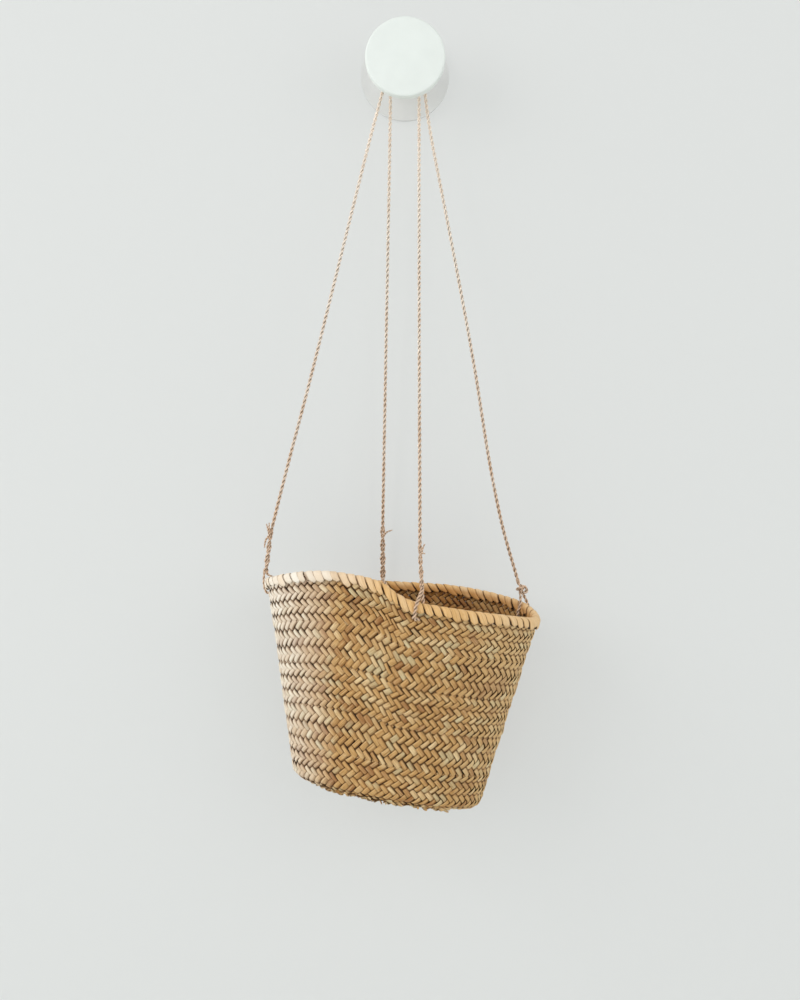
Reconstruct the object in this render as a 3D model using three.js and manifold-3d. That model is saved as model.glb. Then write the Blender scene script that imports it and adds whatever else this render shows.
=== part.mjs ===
// A small plaited palm-leaf basket that hangs by two twisted cords from a turned wall peg.
// Millimetres, +Z up, +Y into the wall, +X to the right of someone who faces the wall.
// The origin is the middle of the peg's back face, on the wall.
import * as THREE from "three";
import { mergeVertices } from "three/addons/utils/BufferGeometryUtils.js";
import Module from "manifold-3d";

const wasm = await Module();
wasm.setup();

// Fits
const SEAT_GAP = 0.3; // between pieces that touch
const PIVOT_GAP = 0.8; // between ends of cord that turn against each other
const WELD_DISTANCE = 1e-4; // points closer than this are one point

// Turned peg, a spool on the wall
const PEG_REACH = 62;
const PEG_BASE_DIAMETER = 79;
const PEG_BASE_EDGE = 4; // thickness of the flange at its rim
const PEG_FRONT_DIAMETER = 69;
const PEG_FRONT_EDGE = 8; // thickness of the front disc at its rim
const PEG_EDGE_RADIUS = 2;
const PEG_BACK_BEVEL = 1;
const PEG_NECK_DIAMETER = 21;
const PEG_NECK_BACK = 21; // distance from the wall to the back end of the straight neck
const PEG_NECK_FRONT = 41; // distance from the wall to the front end of the straight neck
const PEG_SIDES = 36;

// Threaded insert in the back of the peg, for a bolt that stays in the wall
const INSERT_DIAMETER = 10;
const INSERT_LENGTH = 14;
const INSERT_BORE = 5; // inside the thread of a 6 mm bolt
const BOLT_BORE_DIAMETER = 6.6;
const BOLT_BORE_DEPTH = 24;

// Twisted cord
const CORD_DIAMETER = 3.2;
const CORD_SIDES = 8;
const CORD_WALL_DISTANCE = 31; // from the wall to the cords on the neck
const LEG_STEPS = 20;
const BIGHT_STEPS = 12;
const EYE_STEPS = 18;

// Basket: an oval base and a wider oval rim, both measured on the middle of the leaf wall
const RIM_LENGTH = 230;
const RIM_DEPTH = 125;
const BASE_LENGTH = 157;
const BASE_DEPTH = 99;
const BASKET_WALL_DISTANCE = 70; // from the wall to the middle of the basket
const RIM_CENTRE_X = 5.3;
const RIM_CENTRE_Z = -463.5;
const BASE_CENTRE_X = -5.9;
const BASE_CENTRE_Z = -624.8;
const RIM_TILT = 7.4; // degrees, the right end hangs lower
const BASE_TILT = 9.4;
const LEAF_WALL = 2.8; // two crossing leaves
const CORNER_RADIUS = 7; // where the wall turns under into the base
const CORNER_ARC_SHARE = 1.62; // length of that corner along the leaf, as a share of its radius

// How the hung rim is drawn out of its tilted plane: angle round the rim in degrees, and height
const RIM_HEIGHTS = [
  [0, 2.5],
  [27, 10.5],
  [63, 14],
  [99, 8.5],
  [140, 1.5],
  [180, 0.8],
  [200, 4.2],
  [234, 16],
  [253, 17],
  [262, 13.5],
  [270, 4.8],
  [279, 2.2],
  [324, 1],
  [345, 0.6],
];

// A dent in the front wall beside the front cord, where the rim is drawn down
const DENT_DEPTH = 6;
const DENT_ANGLE = 259;
const DENT_SPREAD = 17;
const DENT_BELOW_BINDING = 12.5; // from the binding's lower edge to the dent's middle
const DENT_HEIGHT = 11; // from its middle to its upper or lower end

// The plait is wound upward in courses that are sewn edge to edge
const COURSE_COUNT = 5;
const BASE_TURN_WIDTH = 20;
const EDGE_GROOVE = 0.8; // depth of the hollow edge that the seam cord lies in
const SEAM_CORD_HALF_WIDTH = 0.8;
const SEAM_CORD_HALF_HEIGHT = 0.6;
const RING_STEPS = 40;
const FLAT_STATIONS = 2; // points up a strip that lies straight in section
const BENT_STATIONS = 5;

// Rim: a cord core under a binding of leaf
const CORE_DIAMETER = 2.4;
const BINDING_WALL = 1.6;
const BINDING_HEIGHT = 10.5;
const BINDING_CHAMFER = 1.5;

// Eyes, the loops of cord through the wall under the binding: angle round the rim in degrees
const EYE_ANGLE_RIGHT = 22;
const EYE_ANGLE_BACK = 99;
const EYE_ANGLE_LEFT = 180;
const EYE_ANGLE_FRONT = 276;
const EYE_SLACK = 0.5;
const EYE_DROP = 5.2; // from the binding's lower edge to the bottom of the loop
const EYE_TOP = 10; // from the top of the rim to where the loop's two strands meet

// Splices, where the end of a cord is worked back into itself, and the one knot
const SPLICE_DIAMETER_LEFT = 5;
const SPLICE_DIAMETER_BACK = 5.6;
const SPLICE_DIAMETER_FRONT = 4.4;
const KNOT_DIAMETER = 8.4;
const KNOT_END_SHARE = 0.6; // width of the knot's ends, as a share of its diameter
const KNOT_SHOULDER_SHARE = 0.35; // length of each shoulder, as a share of the knot's length
const TURNED_SIDES = 12;

// Colours
const PEG_PAINT = 0xf1f0ec;
const STEEL = 0x9a9a98;
const CORD_TAN = 0xb49a78;
const LEAF_STRAW = 0xc2a06a;
const LEAF_CREAM = 0xd8c394;

const cordRadius = CORD_DIAMETER / 2;
const innerBightRadius = PEG_NECK_DIAMETER / 2 + SEAT_GAP + cordRadius;
const outerBightRadius = innerBightRadius + CORD_DIAMETER + SEAT_GAP;
const legTop = -PIVOT_GAP;
const neckY = -CORD_WALL_DISTANCE;
const cornerArc = CORNER_ARC_SHARE * CORNER_RADIUS;
const dentMiddle = BINDING_HEIGHT + DENT_BELOW_BINDING;

// Legs of the two cords, from the neck down to the splice or knot at the basket.
const LEFT_LEG = [
  [-outerBightRadius, neckY, legTop],
  [-17.2, -31.4, -12],
  [-21.8, -33, -32],
  [-30, -35.3, -66],
  [-44, -39.8, -128],
  [-60.5, -47, -202],
  [-77.5, -54.5, -278],
  [-95, -61.5, -352],
  [-105, -65.5, -396],
  [-108, -66.7, -410],
];
const RIGHT_LEG = [
  [outerBightRadius, neckY, legTop],
  [17, -31.4, -12],
  [19, -32, -32],
  [23.6, -32.8, -60],
  [37, -34.7, -125],
  [51.4, -36.8, -195],
  [65, -38.9, -265],
  [77, -41, -335],
  [83.8, -42.1, -370],
  [92, -43.1, -405],
  [102.2, -44.1, -439],
  [105.8, -44.5, -451],
];
const BACK_LEG = [
  [-innerBightRadius, neckY, legTop],
  [-12.5, -30.8, -12],
  [-12.4, -29.9, -32],
  [-12.4, -27.5, -80],
  [-12.8, -21.5, -195],
  [-13.2, -15.3, -313],
  [-13.4, -11.6, -385],
  [-13.4, -10.4, -408],
];
const FRONT_LEG = [
  [innerBightRadius, neckY, legTop],
  [12.6, -32.2, -12],
  [12.8, -36.4, -32],
  [13.4, -47, -80],
  [14.8, -72.5, -188],
  [16.3, -97, -292],
  [17.9, -119.2, -386],
  [18.4, -127.2, -420],
];

const radians = (degrees) => THREE.MathUtils.degToRad(degrees);
const fromPoint = ([x, y, z]) => new THREE.Vector3(x, y, z);

// A smooth swell of height 1 at its middle that fades out over its spread to either side.
function swell(distance, spread) {
  const share = Math.min(Math.abs(distance) / spread, 1);
  return 0.5 + 0.5 * Math.cos(Math.PI * share);
}

const inDegrees = (angle) => THREE.MathUtils.euclideanModulo(THREE.MathUtils.radToDeg(angle), 360);

// Height of a smooth closed track through the heights that are given at some angles.
function trackHeight(track, angle) {
  const turn = inDegrees(angle);
  const count = track.length;
  const at = (index) => {
    const rounds = Math.floor(index / count);
    const [where, height] = track[index - rounds * count];
    return { where: where + 360 * rounds, height };
  };
  const start = track.findLastIndex(([where]) => where <= turn);
  const [before, from, to, after] = [-1, 0, 1, 2].map((step) => at(start + step));
  const slope = (one, other) => (other.height - one.height) / (other.where - one.where);
  const span = to.where - from.where;
  const share = (turn - from.where) / span;
  const ease = share * share * (3 - 2 * share);
  const leaving = slope(before, to) * span * share * (1 - share) ** 2;
  const arriving = slope(from, after) * span * share ** 2 * (share - 1);
  return from.height + (to.height - from.height) * ease + leaving + arriving;
}

// Top of the rim. The angle runs from the right end over the back to the left end and the front.
function rimTop(angle) {
  const along = (RIM_LENGTH / 2) * Math.cos(angle);
  const across = (RIM_DEPTH / 2) * Math.sin(angle);
  return new THREE.Vector3(
    RIM_CENTRE_X + along * Math.cos(radians(RIM_TILT)),
    -BASKET_WALL_DISTANCE + across,
    RIM_CENTRE_Z - along * Math.sin(radians(RIM_TILT)) + trackHeight(RIM_HEIGHTS, angle),
  );
}

// A point of the base's oval, drawn in from its edge.
function basePoint(angle, inset) {
  const along = (BASE_LENGTH / 2 - inset) * Math.cos(angle);
  const across = (BASE_DEPTH / 2 - inset) * Math.sin(angle);
  return new THREE.Vector3(
    BASE_CENTRE_X + along * Math.cos(radians(BASE_TILT)),
    -BASKET_WALL_DISTANCE + across,
    BASE_CENTRE_Z - along * Math.sin(radians(BASE_TILT)),
  );
}

// Where the straight wall ends and the rounded corner begins.
function cornerStart(angle) {
  const edge = basePoint(angle, 0);
  const up = rimTop(angle).sub(edge).normalize();
  return edge.addScaledVector(up, CORNER_RADIUS);
}

const straightLength = (angle) => rimTop(angle).distanceTo(cornerStart(angle));

// The middle of the leaf at a distance down from the top of the rim: wall, corner, then base.
function leafPoint(angle, drop) {
  const straight = straightLength(angle);
  if (drop <= straight) {
    const beside = swell(inDegrees(angle) - DENT_ANGLE, DENT_SPREAD);
    const below = swell(drop - dentMiddle, DENT_HEIGHT);
    const dent = new THREE.Vector3(0, DENT_DEPTH * beside * below, 0);
    return rimTop(angle).lerp(cornerStart(angle), drop / straight).add(dent);
  }
  if (drop >= straight + cornerArc) {
    return basePoint(angle, CORNER_RADIUS + drop - straight - cornerArc);
  }
  const corner = new THREE.QuadraticBezierCurve3(
    cornerStart(angle),
    basePoint(angle, 0),
    basePoint(angle, CORNER_RADIUS),
  );
  return corner.getPoint((drop - straight) / cornerArc);
}

// Outward direction of the leaf at a point.
function leafNormal(angle, drop) {
  const turn = 0.02;
  const reach = 0.5;
  const along = leafPoint(angle + turn, drop).sub(leafPoint(angle - turn, drop));
  const down = leafPoint(angle, drop + reach).sub(leafPoint(angle, drop - reach));
  return down.cross(along).normalize();
}

function leafOffset(angle, drop, offset) {
  return leafPoint(angle, drop).addScaledVector(leafNormal(angle, drop), offset);
}

// Distance from the top of the rim to the upper edge of the plait, under core and binding.
const edgeDrop = BINDING_WALL + CORE_DIAMETER + 2 * SEAT_GAP;

// Distance down to a seam between courses. Seam 0 is the upper edge and the last one meets the base.
function seamDrop(angle, seam) {
  const plaitHeight = straightLength(angle) + cornerArc - edgeDrop;
  return edgeDrop + (plaitHeight * seam) / COURSE_COUNT;
}

// Joins loops of points into one closed body. Points that repeat on a loop's axis give no face.
function bodyFromLoops(loops) {
  const count = loops[0].length;
  const positions = [];
  const addFace = (a, b, c) => {
    if (a.distanceTo(b) > 0 && b.distanceTo(c) > 0 && c.distanceTo(a) > 0) {
      positions.push(...a.toArray(), ...b.toArray(), ...c.toArray());
    }
  };
  loops.forEach((loop, index) => {
    const next = loops[(index + 1) % loops.length];
    for (let i = 0; i < count; i += 1) {
      const j = (i + 1) % count;
      addFace(loop[i], next[i], next[j]);
      addFace(loop[i], next[j], loop[j]);
    }
  });
  const geometry = new THREE.BufferGeometry();
  geometry.setAttribute("position", new THREE.Float32BufferAttribute(positions, 3));
  return geometry;
}

// A ring round the basket from a section that is given for each angle.
function ringRound(sectionAt) {
  const loops = [];
  for (let step = 0; step < RING_STEPS; step += 1) {
    loops.push(sectionAt((2 * Math.PI * step) / RING_STEPS));
  }
  return bodyFromLoops(loops);
}

// Section of a strip of plait between two drops, with a hollow along each edge.
function stripSection(angle, upper, lower, stations) {
  const face = (offset) => {
    const points = [];
    for (let station = 0; station < stations; station += 1) {
      const drop = THREE.MathUtils.lerp(lower, upper, station / (stations - 1));
      points.push(leafOffset(angle, drop, offset));
    }
    return points;
  };
  return [
    ...face(LEAF_WALL / 2),
    leafPoint(angle, upper + EDGE_GROOVE),
    ...face(-LEAF_WALL / 2).reverse(),
    leafPoint(angle, lower - EDGE_GROOVE),
  ];
}

// One turn of plait. Only the dented course and the one that turns under the base bend in section.
function courseRing(upperSeam) {
  const bends = upperSeam === 0 || upperSeam === COURSE_COUNT - 1;
  return ringRound((angle) =>
    stripSection(
      angle,
      seamDrop(angle, upperSeam) + SEAT_GAP / 2,
      seamDrop(angle, upperSeam + 1) - SEAT_GAP / 2,
      bends ? BENT_STATIONS : FLAT_STATIONS,
    ),
  );
}

function baseTurnRing() {
  return ringRound((angle) => {
    const start = seamDrop(angle, COURSE_COUNT);
    const end = start + BASE_TURN_WIDTH;
    return stripSection(angle, start + SEAT_GAP / 2, end - SEAT_GAP / 2, FLAT_STATIONS);
  });
}

// The base's middle, closed across its centre.
function baseCentrePlate() {
  const half = LEAF_WALL / 2;
  const centre = basePoint(0, BASE_LENGTH / 2);
  const down = new THREE.Vector3(0, 0, -1).applyAxisAngle(new THREE.Vector3(0, 1, 0), radians(BASE_TILT));
  return ringRound((angle) => {
    const edge = seamDrop(angle, COURSE_COUNT) + BASE_TURN_WIDTH + SEAT_GAP / 2;
    return [
      centre.clone().addScaledVector(down, half),
      leafOffset(angle, edge, half),
      leafPoint(angle, edge + EDGE_GROOVE),
      leafOffset(angle, edge, -half),
      centre.clone().addScaledVector(down, -half),
    ];
  });
}

// The sewing cord that lies hidden in the hollow edges of two strips.
function seamCordRing(dropAt) {
  return ringRound((angle) => {
    const drop = dropAt(angle);
    return [
      leafPoint(angle, drop + SEAM_CORD_HALF_HEIGHT),
      leafOffset(angle, drop, SEAM_CORD_HALF_WIDTH),
      leafPoint(angle, drop - SEAM_CORD_HALF_HEIGHT),
      leafOffset(angle, drop, -SEAM_CORD_HALF_WIDTH),
    ];
  });
}

function rimCoreRing() {
  const middle = BINDING_WALL + SEAT_GAP + CORE_DIAMETER / 2;
  const sides = 6;
  return ringRound((angle) => {
    const section = [];
    for (let side = 0; side < sides; side += 1) {
      const turn = (2 * Math.PI * side) / sides;
      const drop = middle + (CORE_DIAMETER / 2) * Math.cos(turn);
      section.push(leafOffset(angle, drop, (CORE_DIAMETER / 2) * Math.sin(turn)));
    }
    return section;
  });
}

const channelHalf = LEAF_WALL / 2 + SEAT_GAP;
const bindingHalf = channelHalf + BINDING_WALL;

// The binding is a channel that opens downward over the core and the upper edge of the plait.
function rimBindingRing() {
  return ringRound((angle) => [
    leafOffset(angle, BINDING_HEIGHT, bindingHalf),
    leafOffset(angle, BINDING_CHAMFER, bindingHalf),
    leafOffset(angle, 0, bindingHalf - BINDING_CHAMFER),
    leafOffset(angle, 0, BINDING_CHAMFER - bindingHalf),
    leafOffset(angle, BINDING_CHAMFER, -bindingHalf),
    leafOffset(angle, BINDING_HEIGHT, -bindingHalf),
    leafOffset(angle, BINDING_HEIGHT, -channelHalf),
    leafOffset(angle, BINDING_WALL, -channelHalf),
    leafOffset(angle, BINDING_WALL, channelHalf),
    leafOffset(angle, BINDING_HEIGHT, channelHalf),
  ]);
}

function roundShape(radius, sides) {
  const points = [];
  for (let side = 0; side < sides; side += 1) {
    const turn = (2 * Math.PI * side) / sides;
    points.push(new THREE.Vector2(radius * Math.cos(turn), radius * Math.sin(turn)));
  }
  return new THREE.Shape(points);
}

function tubeAlong(points, radius, steps) {
  return new THREE.ExtrudeGeometry(roundShape(radius, CORD_SIDES), {
    steps,
    bevelEnabled: false,
    extrudePath: new THREE.CatmullRomCurve3(points),
  });
}

// Half a turn of cord over the neck, from the right side to the left.
function bightTube(radius) {
  const points = [];
  for (let step = 0; step <= BIGHT_STEPS; step += 1) {
    const turn = (Math.PI * step) / BIGHT_STEPS;
    points.push(new THREE.Vector3(radius * Math.cos(turn), neckY, radius * Math.sin(turn)));
  }
  return tubeAlong(points, cordRadius, BIGHT_STEPS);
}

// Place and directions of one eye: the rim's top, outward, down the wall, and up to the cord's leg.
function eyeFrame(eyeAngle, leg) {
  const angle = radians(eyeAngle);
  const top = rimTop(angle);
  const out = leafNormal(angle, BINDING_HEIGHT / 2);
  const down = leafPoint(angle, BINDING_HEIGHT).sub(top).normalize();
  const legEnd = fromPoint(leg[leg.length - 1]);
  const up = legEnd.clone().sub(top).normalize();
  const side = out.clone().addScaledVector(up, -out.dot(up)).normalize();
  const meeting = top.clone().addScaledVector(up, EYE_TOP);
  return { top, out, down, up, side, meeting, legEnd };
}

const eyeHalfWidth = bindingHalf + SEAT_GAP + cordRadius + EYE_SLACK;
const strandHalfGap = cordRadius + SEAT_GAP / 2;

// A loop that goes down outside the binding, through the wall under it, and up on the inside.
function eyePath({ top, out, down, up, side, meeting }) {
  const onWall = (offset, drop) => top.clone().addScaledVector(out, offset).addScaledVector(down, drop);
  const straightEnd = BINDING_HEIGHT - EYE_SLACK;
  const half = (sign) => [
    meeting.clone().addScaledVector(side, sign * strandHalfGap),
    meeting.clone().addScaledVector(side, sign * strandHalfGap).addScaledVector(up, -cordRadius),
    onWall(sign * eyeHalfWidth, BINDING_CHAMFER),
    onWall(sign * eyeHalfWidth, straightEnd),
    onWall(sign * eyeHalfWidth * Math.SQRT1_2, straightEnd + EYE_DROP * Math.SQRT1_2),
  ];
  return [...half(1), onWall(0, straightEnd + EYE_DROP), ...half(-1).reverse()];
}

// The hole that an eye passes through.
function eyeHole({ top, out, down }) {
  const middle = top.clone().addScaledVector(down, BINDING_HEIGHT - EYE_SLACK + EYE_DROP);
  const reach = LEAF_WALL;
  const ends = [middle.clone().addScaledVector(out, -reach), middle.clone().addScaledVector(out, reach)];
  return tubeAlong(ends, cordRadius + SEAT_GAP + EYE_SLACK, 1);
}

function turned(profile, sides) {
  return new THREE.LatheGeometry(
    profile.map(([radius, along]) => new THREE.Vector2(radius, along)),
    sides,
  );
}

// A length of cord with its own end laid round it: thicker, and tapered where it begins.
function spliceBody({ meeting, legEnd }, diameter) {
  const length = meeting.distanceTo(legEnd) - 2 * PIVOT_GAP;
  const half = diameter / 2;
  return turned(
    [
      [0, 0],
      [half, 0],
      [half, length / 2],
      [cordRadius, length],
      [0, length],
    ],
    TURNED_SIDES,
  );
}

// An overhand knot as its outer form.
function knotBody({ meeting, legEnd }, diameter) {
  const length = meeting.distanceTo(legEnd) - 2 * PIVOT_GAP;
  const half = diameter / 2;
  return turned(
    [
      [0, 0],
      [half * KNOT_END_SHARE, 0],
      [half, length * KNOT_SHOULDER_SHARE],
      [half, length * (1 - KNOT_SHOULDER_SHARE)],
      [half * KNOT_END_SHARE, length],
      [0, length],
    ],
    TURNED_SIDES,
  );
}

function pegBody() {
  const quarter = Math.PI / 2;
  const arcSteps = 6;
  const edgeSteps = 2;
  const neck = PEG_NECK_DIAMETER / 2;
  const base = PEG_BASE_DIAMETER / 2;
  const front = PEG_FRONT_DIAMETER / 2;
  const insertHole = INSERT_DIAMETER / 2 + SEAT_GAP;
  const profile = [
    [0, -BOLT_BORE_DEPTH],
    [BOLT_BORE_DIAMETER / 2, -BOLT_BORE_DEPTH],
    [BOLT_BORE_DIAMETER / 2, -INSERT_LENGTH - SEAT_GAP],
    [insertHole, -INSERT_LENGTH - SEAT_GAP],
    [insertHole, 0],
    [base - PEG_BACK_BEVEL, 0],
    [base, -PEG_BACK_BEVEL],
    [base, -PEG_BASE_EDGE],
  ];
  const hollow = (flange, atFlange, atNeck, step) => {
    const turn = (quarter * step) / arcSteps;
    const radius = flange - (flange - neck) * Math.sin(turn);
    return [radius, -(atNeck + (atFlange - atNeck) * Math.cos(turn))];
  };
  for (let step = 1; step <= arcSteps; step += 1) {
    profile.push(hollow(base, PEG_BASE_EDGE, PEG_NECK_BACK, step));
  }
  for (let step = arcSteps; step >= 0; step -= 1) {
    profile.push(hollow(front, PEG_REACH - PEG_FRONT_EDGE, PEG_NECK_FRONT, step));
  }
  for (let step = 0; step <= edgeSteps; step += 1) {
    const turn = (quarter * step) / edgeSteps;
    const radius = front - PEG_EDGE_RADIUS * (1 - Math.cos(turn));
    profile.push([radius, -(PEG_REACH - PEG_EDGE_RADIUS * (1 - Math.sin(turn)))]);
  }
  profile.push([0, -PEG_REACH]);
  return turned(profile.reverse(), PEG_SIDES);
}

function insertSleeve() {
  const outer = INSERT_DIAMETER / 2;
  const inner = INSERT_BORE / 2;
  return turned(
    [
      [inner, 0],
      [inner, -INSERT_LENGTH],
      [outer, -INSERT_LENGTH],
      [outer, 0],
      [inner, 0],
    ],
    PEG_SIDES,
  );
}

function toSolid(geometry) {
  const plain = geometry.clone();
  plain.deleteAttribute("normal");
  plain.deleteAttribute("uv");
  const merged = mergeVertices(plain, WELD_DISTANCE);
  return new wasm.Manifold(
    new wasm.Mesh({
      numProp: 3,
      vertProperties: new Float32Array(merged.attributes.position.array),
      triVerts: new Uint32Array(merged.index.array),
    }),
  );
}

function fromSolid(solid) {
  const mesh = solid.getMesh();
  const geometry = new THREE.BufferGeometry();
  geometry.setAttribute("position", new THREE.BufferAttribute(mesh.vertProperties, 3));
  geometry.setIndex(new THREE.BufferAttribute(mesh.triVerts, 1));
  return geometry;
}

const basketOnPeg = new THREE.Group();

function addPiece(name, geometry, color, roughness, metalness = 0) {
  const mesh = new THREE.Mesh(geometry, new THREE.MeshStandardMaterial({ color, roughness, metalness }));
  mesh.name = name;
  basketOnPeg.add(mesh);
  return mesh;
}

const addLeaf = (name, geometry, color = LEAF_STRAW) => addPiece(name, geometry, color, 0.75);
const addCord = (name, geometry) => addPiece(name, geometry, CORD_TAN, 0.9);

// Peg
addPiece("peg_body", pegBody(), PEG_PAINT, 0.45);
addPiece("peg_insert", insertSleeve(), STEEL, 0.35, 1);

// Two cords over the neck, the second one lying on the first
addCord("cord_bight_inner", bightTube(innerBightRadius));
addCord("cord_bight_outer", bightTube(outerBightRadius));

// Legs, eyes, splices and knot
const splice = (diameter) => ({ fastening: "splice", form: spliceBody, diameter });
const knot = (diameter) => ({ fastening: "knot", form: knotBody, diameter });
const ENDS = [
  { side: "left", eyeAngle: EYE_ANGLE_LEFT, leg: LEFT_LEG, ...splice(SPLICE_DIAMETER_LEFT) },
  { side: "right", eyeAngle: EYE_ANGLE_RIGHT, leg: RIGHT_LEG, ...knot(KNOT_DIAMETER) },
  { side: "back", eyeAngle: EYE_ANGLE_BACK, leg: BACK_LEG, ...splice(SPLICE_DIAMETER_BACK) },
  { side: "front", eyeAngle: EYE_ANGLE_FRONT, leg: FRONT_LEG, ...splice(SPLICE_DIAMETER_FRONT) },
];
const lathesAxis = new THREE.Vector3(0, 1, 0);
const eyeHoles = [];
for (const { side, eyeAngle, leg, fastening, form, diameter } of ENDS) {
  const frame = eyeFrame(eyeAngle, leg);
  addCord(`cord_leg_${side}`, tubeAlong(leg.map(fromPoint), cordRadius, LEG_STEPS));
  const fixed = addCord(`cord_${fastening}_${side}`, form(frame, diameter));
  fixed.position.copy(frame.meeting).addScaledVector(frame.up, PIVOT_GAP);
  fixed.quaternion.setFromUnitVectors(lathesAxis, frame.up);
  addCord(`cord_eye_${side}`, tubeAlong(eyePath(frame), cordRadius, EYE_STEPS));
  eyeHoles.push(toSolid(eyeHole(frame)));
}

// Courses of plait from the rim down. The top one has the holes for the eyes.
for (let course = 0; course < COURSE_COUNT; course += 1) {
  let ring = courseRing(course);
  if (course === 0) {
    ring = fromSolid(eyeHoles.reduce((solid, hole) => solid.subtract(hole), toSolid(ring)));
  }
  addLeaf(`wall_course_${course + 1}`, ring);
}
for (let seam = 1; seam <= COURSE_COUNT; seam += 1) {
  addCord(`seam_cord_${seam}`, seamCordRing((angle) => seamDrop(angle, seam)));
}

// Base
addLeaf("base_turn", baseTurnRing());
addLeaf("base_centre", baseCentrePlate());
addCord("seam_cord_base", seamCordRing((angle) => seamDrop(angle, COURSE_COUNT) + BASE_TURN_WIDTH));

// Rim
addCord("rim_core", rimCoreRing());
addLeaf("rim_binding", rimBindingRing(), LEAF_CREAM);

export default basketOnPeg;
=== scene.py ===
"""Dresses a plaited palm-leaf basket that hangs by two twisted cords from a turned wall peg.

Metres, +Z up, +Y into the wall. The origin is the middle of the peg's back face, on the wall.
"""
import math

import bmesh
import bpy
import numpy as np
from bpy.props import FloatProperty, FloatVectorProperty, PointerProperty
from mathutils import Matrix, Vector, noise


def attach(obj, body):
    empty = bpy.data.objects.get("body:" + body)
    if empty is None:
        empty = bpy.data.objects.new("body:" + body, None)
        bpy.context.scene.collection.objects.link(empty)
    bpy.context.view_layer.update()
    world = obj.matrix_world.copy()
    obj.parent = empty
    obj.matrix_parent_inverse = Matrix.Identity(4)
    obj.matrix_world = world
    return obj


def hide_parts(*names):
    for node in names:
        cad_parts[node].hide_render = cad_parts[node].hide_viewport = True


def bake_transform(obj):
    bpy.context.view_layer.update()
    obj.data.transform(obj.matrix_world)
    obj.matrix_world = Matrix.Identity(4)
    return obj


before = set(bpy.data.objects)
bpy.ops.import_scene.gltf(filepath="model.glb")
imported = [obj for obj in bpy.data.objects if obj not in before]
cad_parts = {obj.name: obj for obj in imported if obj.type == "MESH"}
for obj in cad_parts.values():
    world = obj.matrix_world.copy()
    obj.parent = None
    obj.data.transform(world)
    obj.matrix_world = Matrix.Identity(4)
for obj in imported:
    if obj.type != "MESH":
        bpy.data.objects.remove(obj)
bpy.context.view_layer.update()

bl_info = {
    "name": "Hung basket",
    "version": (1, 0, 0),
    "blender": (4, 5, 0),
    "location": "3D View > Sidebar > Hung basket",
    "description": "Makes the cords, plait, rim and peg of a small hanging basket",
    "category": "Object",
}

# Basket form, as in the part's source: an oval base and a wider oval rim, both on the middle of the leaf
RIM_LENGTH = 0.230
RIM_DEPTH = 0.125
BASE_LENGTH = 0.157
BASE_DEPTH = 0.099
BASKET_WALL_DISTANCE = 0.070
RIM_CENTRE = (0.0053, -0.4635)
BASE_CENTRE = (-0.0059, -0.6248)
RIM_TILT = math.radians(7.4)
BASE_TILT = math.radians(9.4)
CORNER_RADIUS = 0.007
CORNER_ARC = 1.62 * CORNER_RADIUS
BASE_TURN_WIDTH = 0.020
RIM_HEIGHTS = (
    (0, 0.0025), (27, 0.0105), (63, 0.014), (99, 0.0085), (140, 0.0015), (180, 0.0008), (200, 0.0042),
    (234, 0.016), (253, 0.017), (262, 0.0135), (270, 0.0048), (279, 0.0022), (324, 0.001), (345, 0.0006),
)
DENT_DEPTH = 0.006
DENT_ANGLE = 259
DENT_SPREAD = 17
DENT_MIDDLE = 0.023
DENT_HEIGHT = 0.011

# Rows of plait in each course of the wall, from the rim down, then in the turn of the base
COURSE_ROWS = (6, 5, 6, 5, 6)
COURSE_COUNT = len(COURSE_ROWS)
BASE_TURN_ROWS = 3
BASE_RING_COUNT = 3
BASE_RING_WIDTH = 0.0075

# Rim
BINDING_HEIGHT = 0.0105
BINDING_HALF = 0.0033
BINDING_CHAMFER = 0.0015
PLAIT_EDGE_DROP = 0.0046
CORE_DIAMETER = 0.0024
CORE_DROPS = (0.0031, 0.0054, 0.0077)
SEAM_CORD_DIAMETER = 0.0012

# Eyes, the loops of cord through the wall under the rim
EYE_ANGLES = {"left": 180, "right": 22, "back": 99, "front": 276}
# How far the splice or knot of each eye starts over the rim, outside it and along it
EYE_TOPS = {"left": 0.0045, "right": 0.010, "back": 0.002, "front": 0.011}
EYE_OUTS = {"left": 0.003, "right": 0.0, "back": 0.0, "front": 0.0}
EYE_ALONGS = {"left": 0.0, "right": 0.0, "back": 0.0, "front": 0.003}
# How far the outer and inner halves lean along the rim on their way to the hole
OUTER_SLANTS = {"left": 0.0, "right": 0.0, "back": 0.0025, "front": -0.002}
INNER_SLANTS = {"left": 0.0, "right": 0.0, "back": -0.0025, "front": 0.007}
CHAMFER_SLANT = 0.7  # the share of that lean which is reached at the rim's shoulder
STRAND_DIAMETERS = {"left": 0.0022, "right": 0.0028, "back": 0.0028, "front": 0.0034}
STRAND_LAY = 0.0085
STRAND_OFFSET = 0.6  # from the binding to the middle of the strand, in strand diameters
EYE_STRAIGHT = 0.009
EYE_DROP = 0.0042
EYE_END_RISE = 0.002  # how far the loop's ends run up into the splice or knot

# Splices, where a leg of cord is doubled back and wound round itself over its eye
SPLICE_TOP = 0.004  # how far a splice reaches up over the leg
SPLICE_LAY_SHARE = 4.4
SPLICE_STRAND_SHARE = 0.56
SPLICE_END_SHARE = 0.7
TAIL_DIAMETER = 0.002
TAIL_LAY = 0.005
TAIL_END_SHARE = 0.6
TAIL_FIBRES = 250000.0  # per square metre

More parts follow.
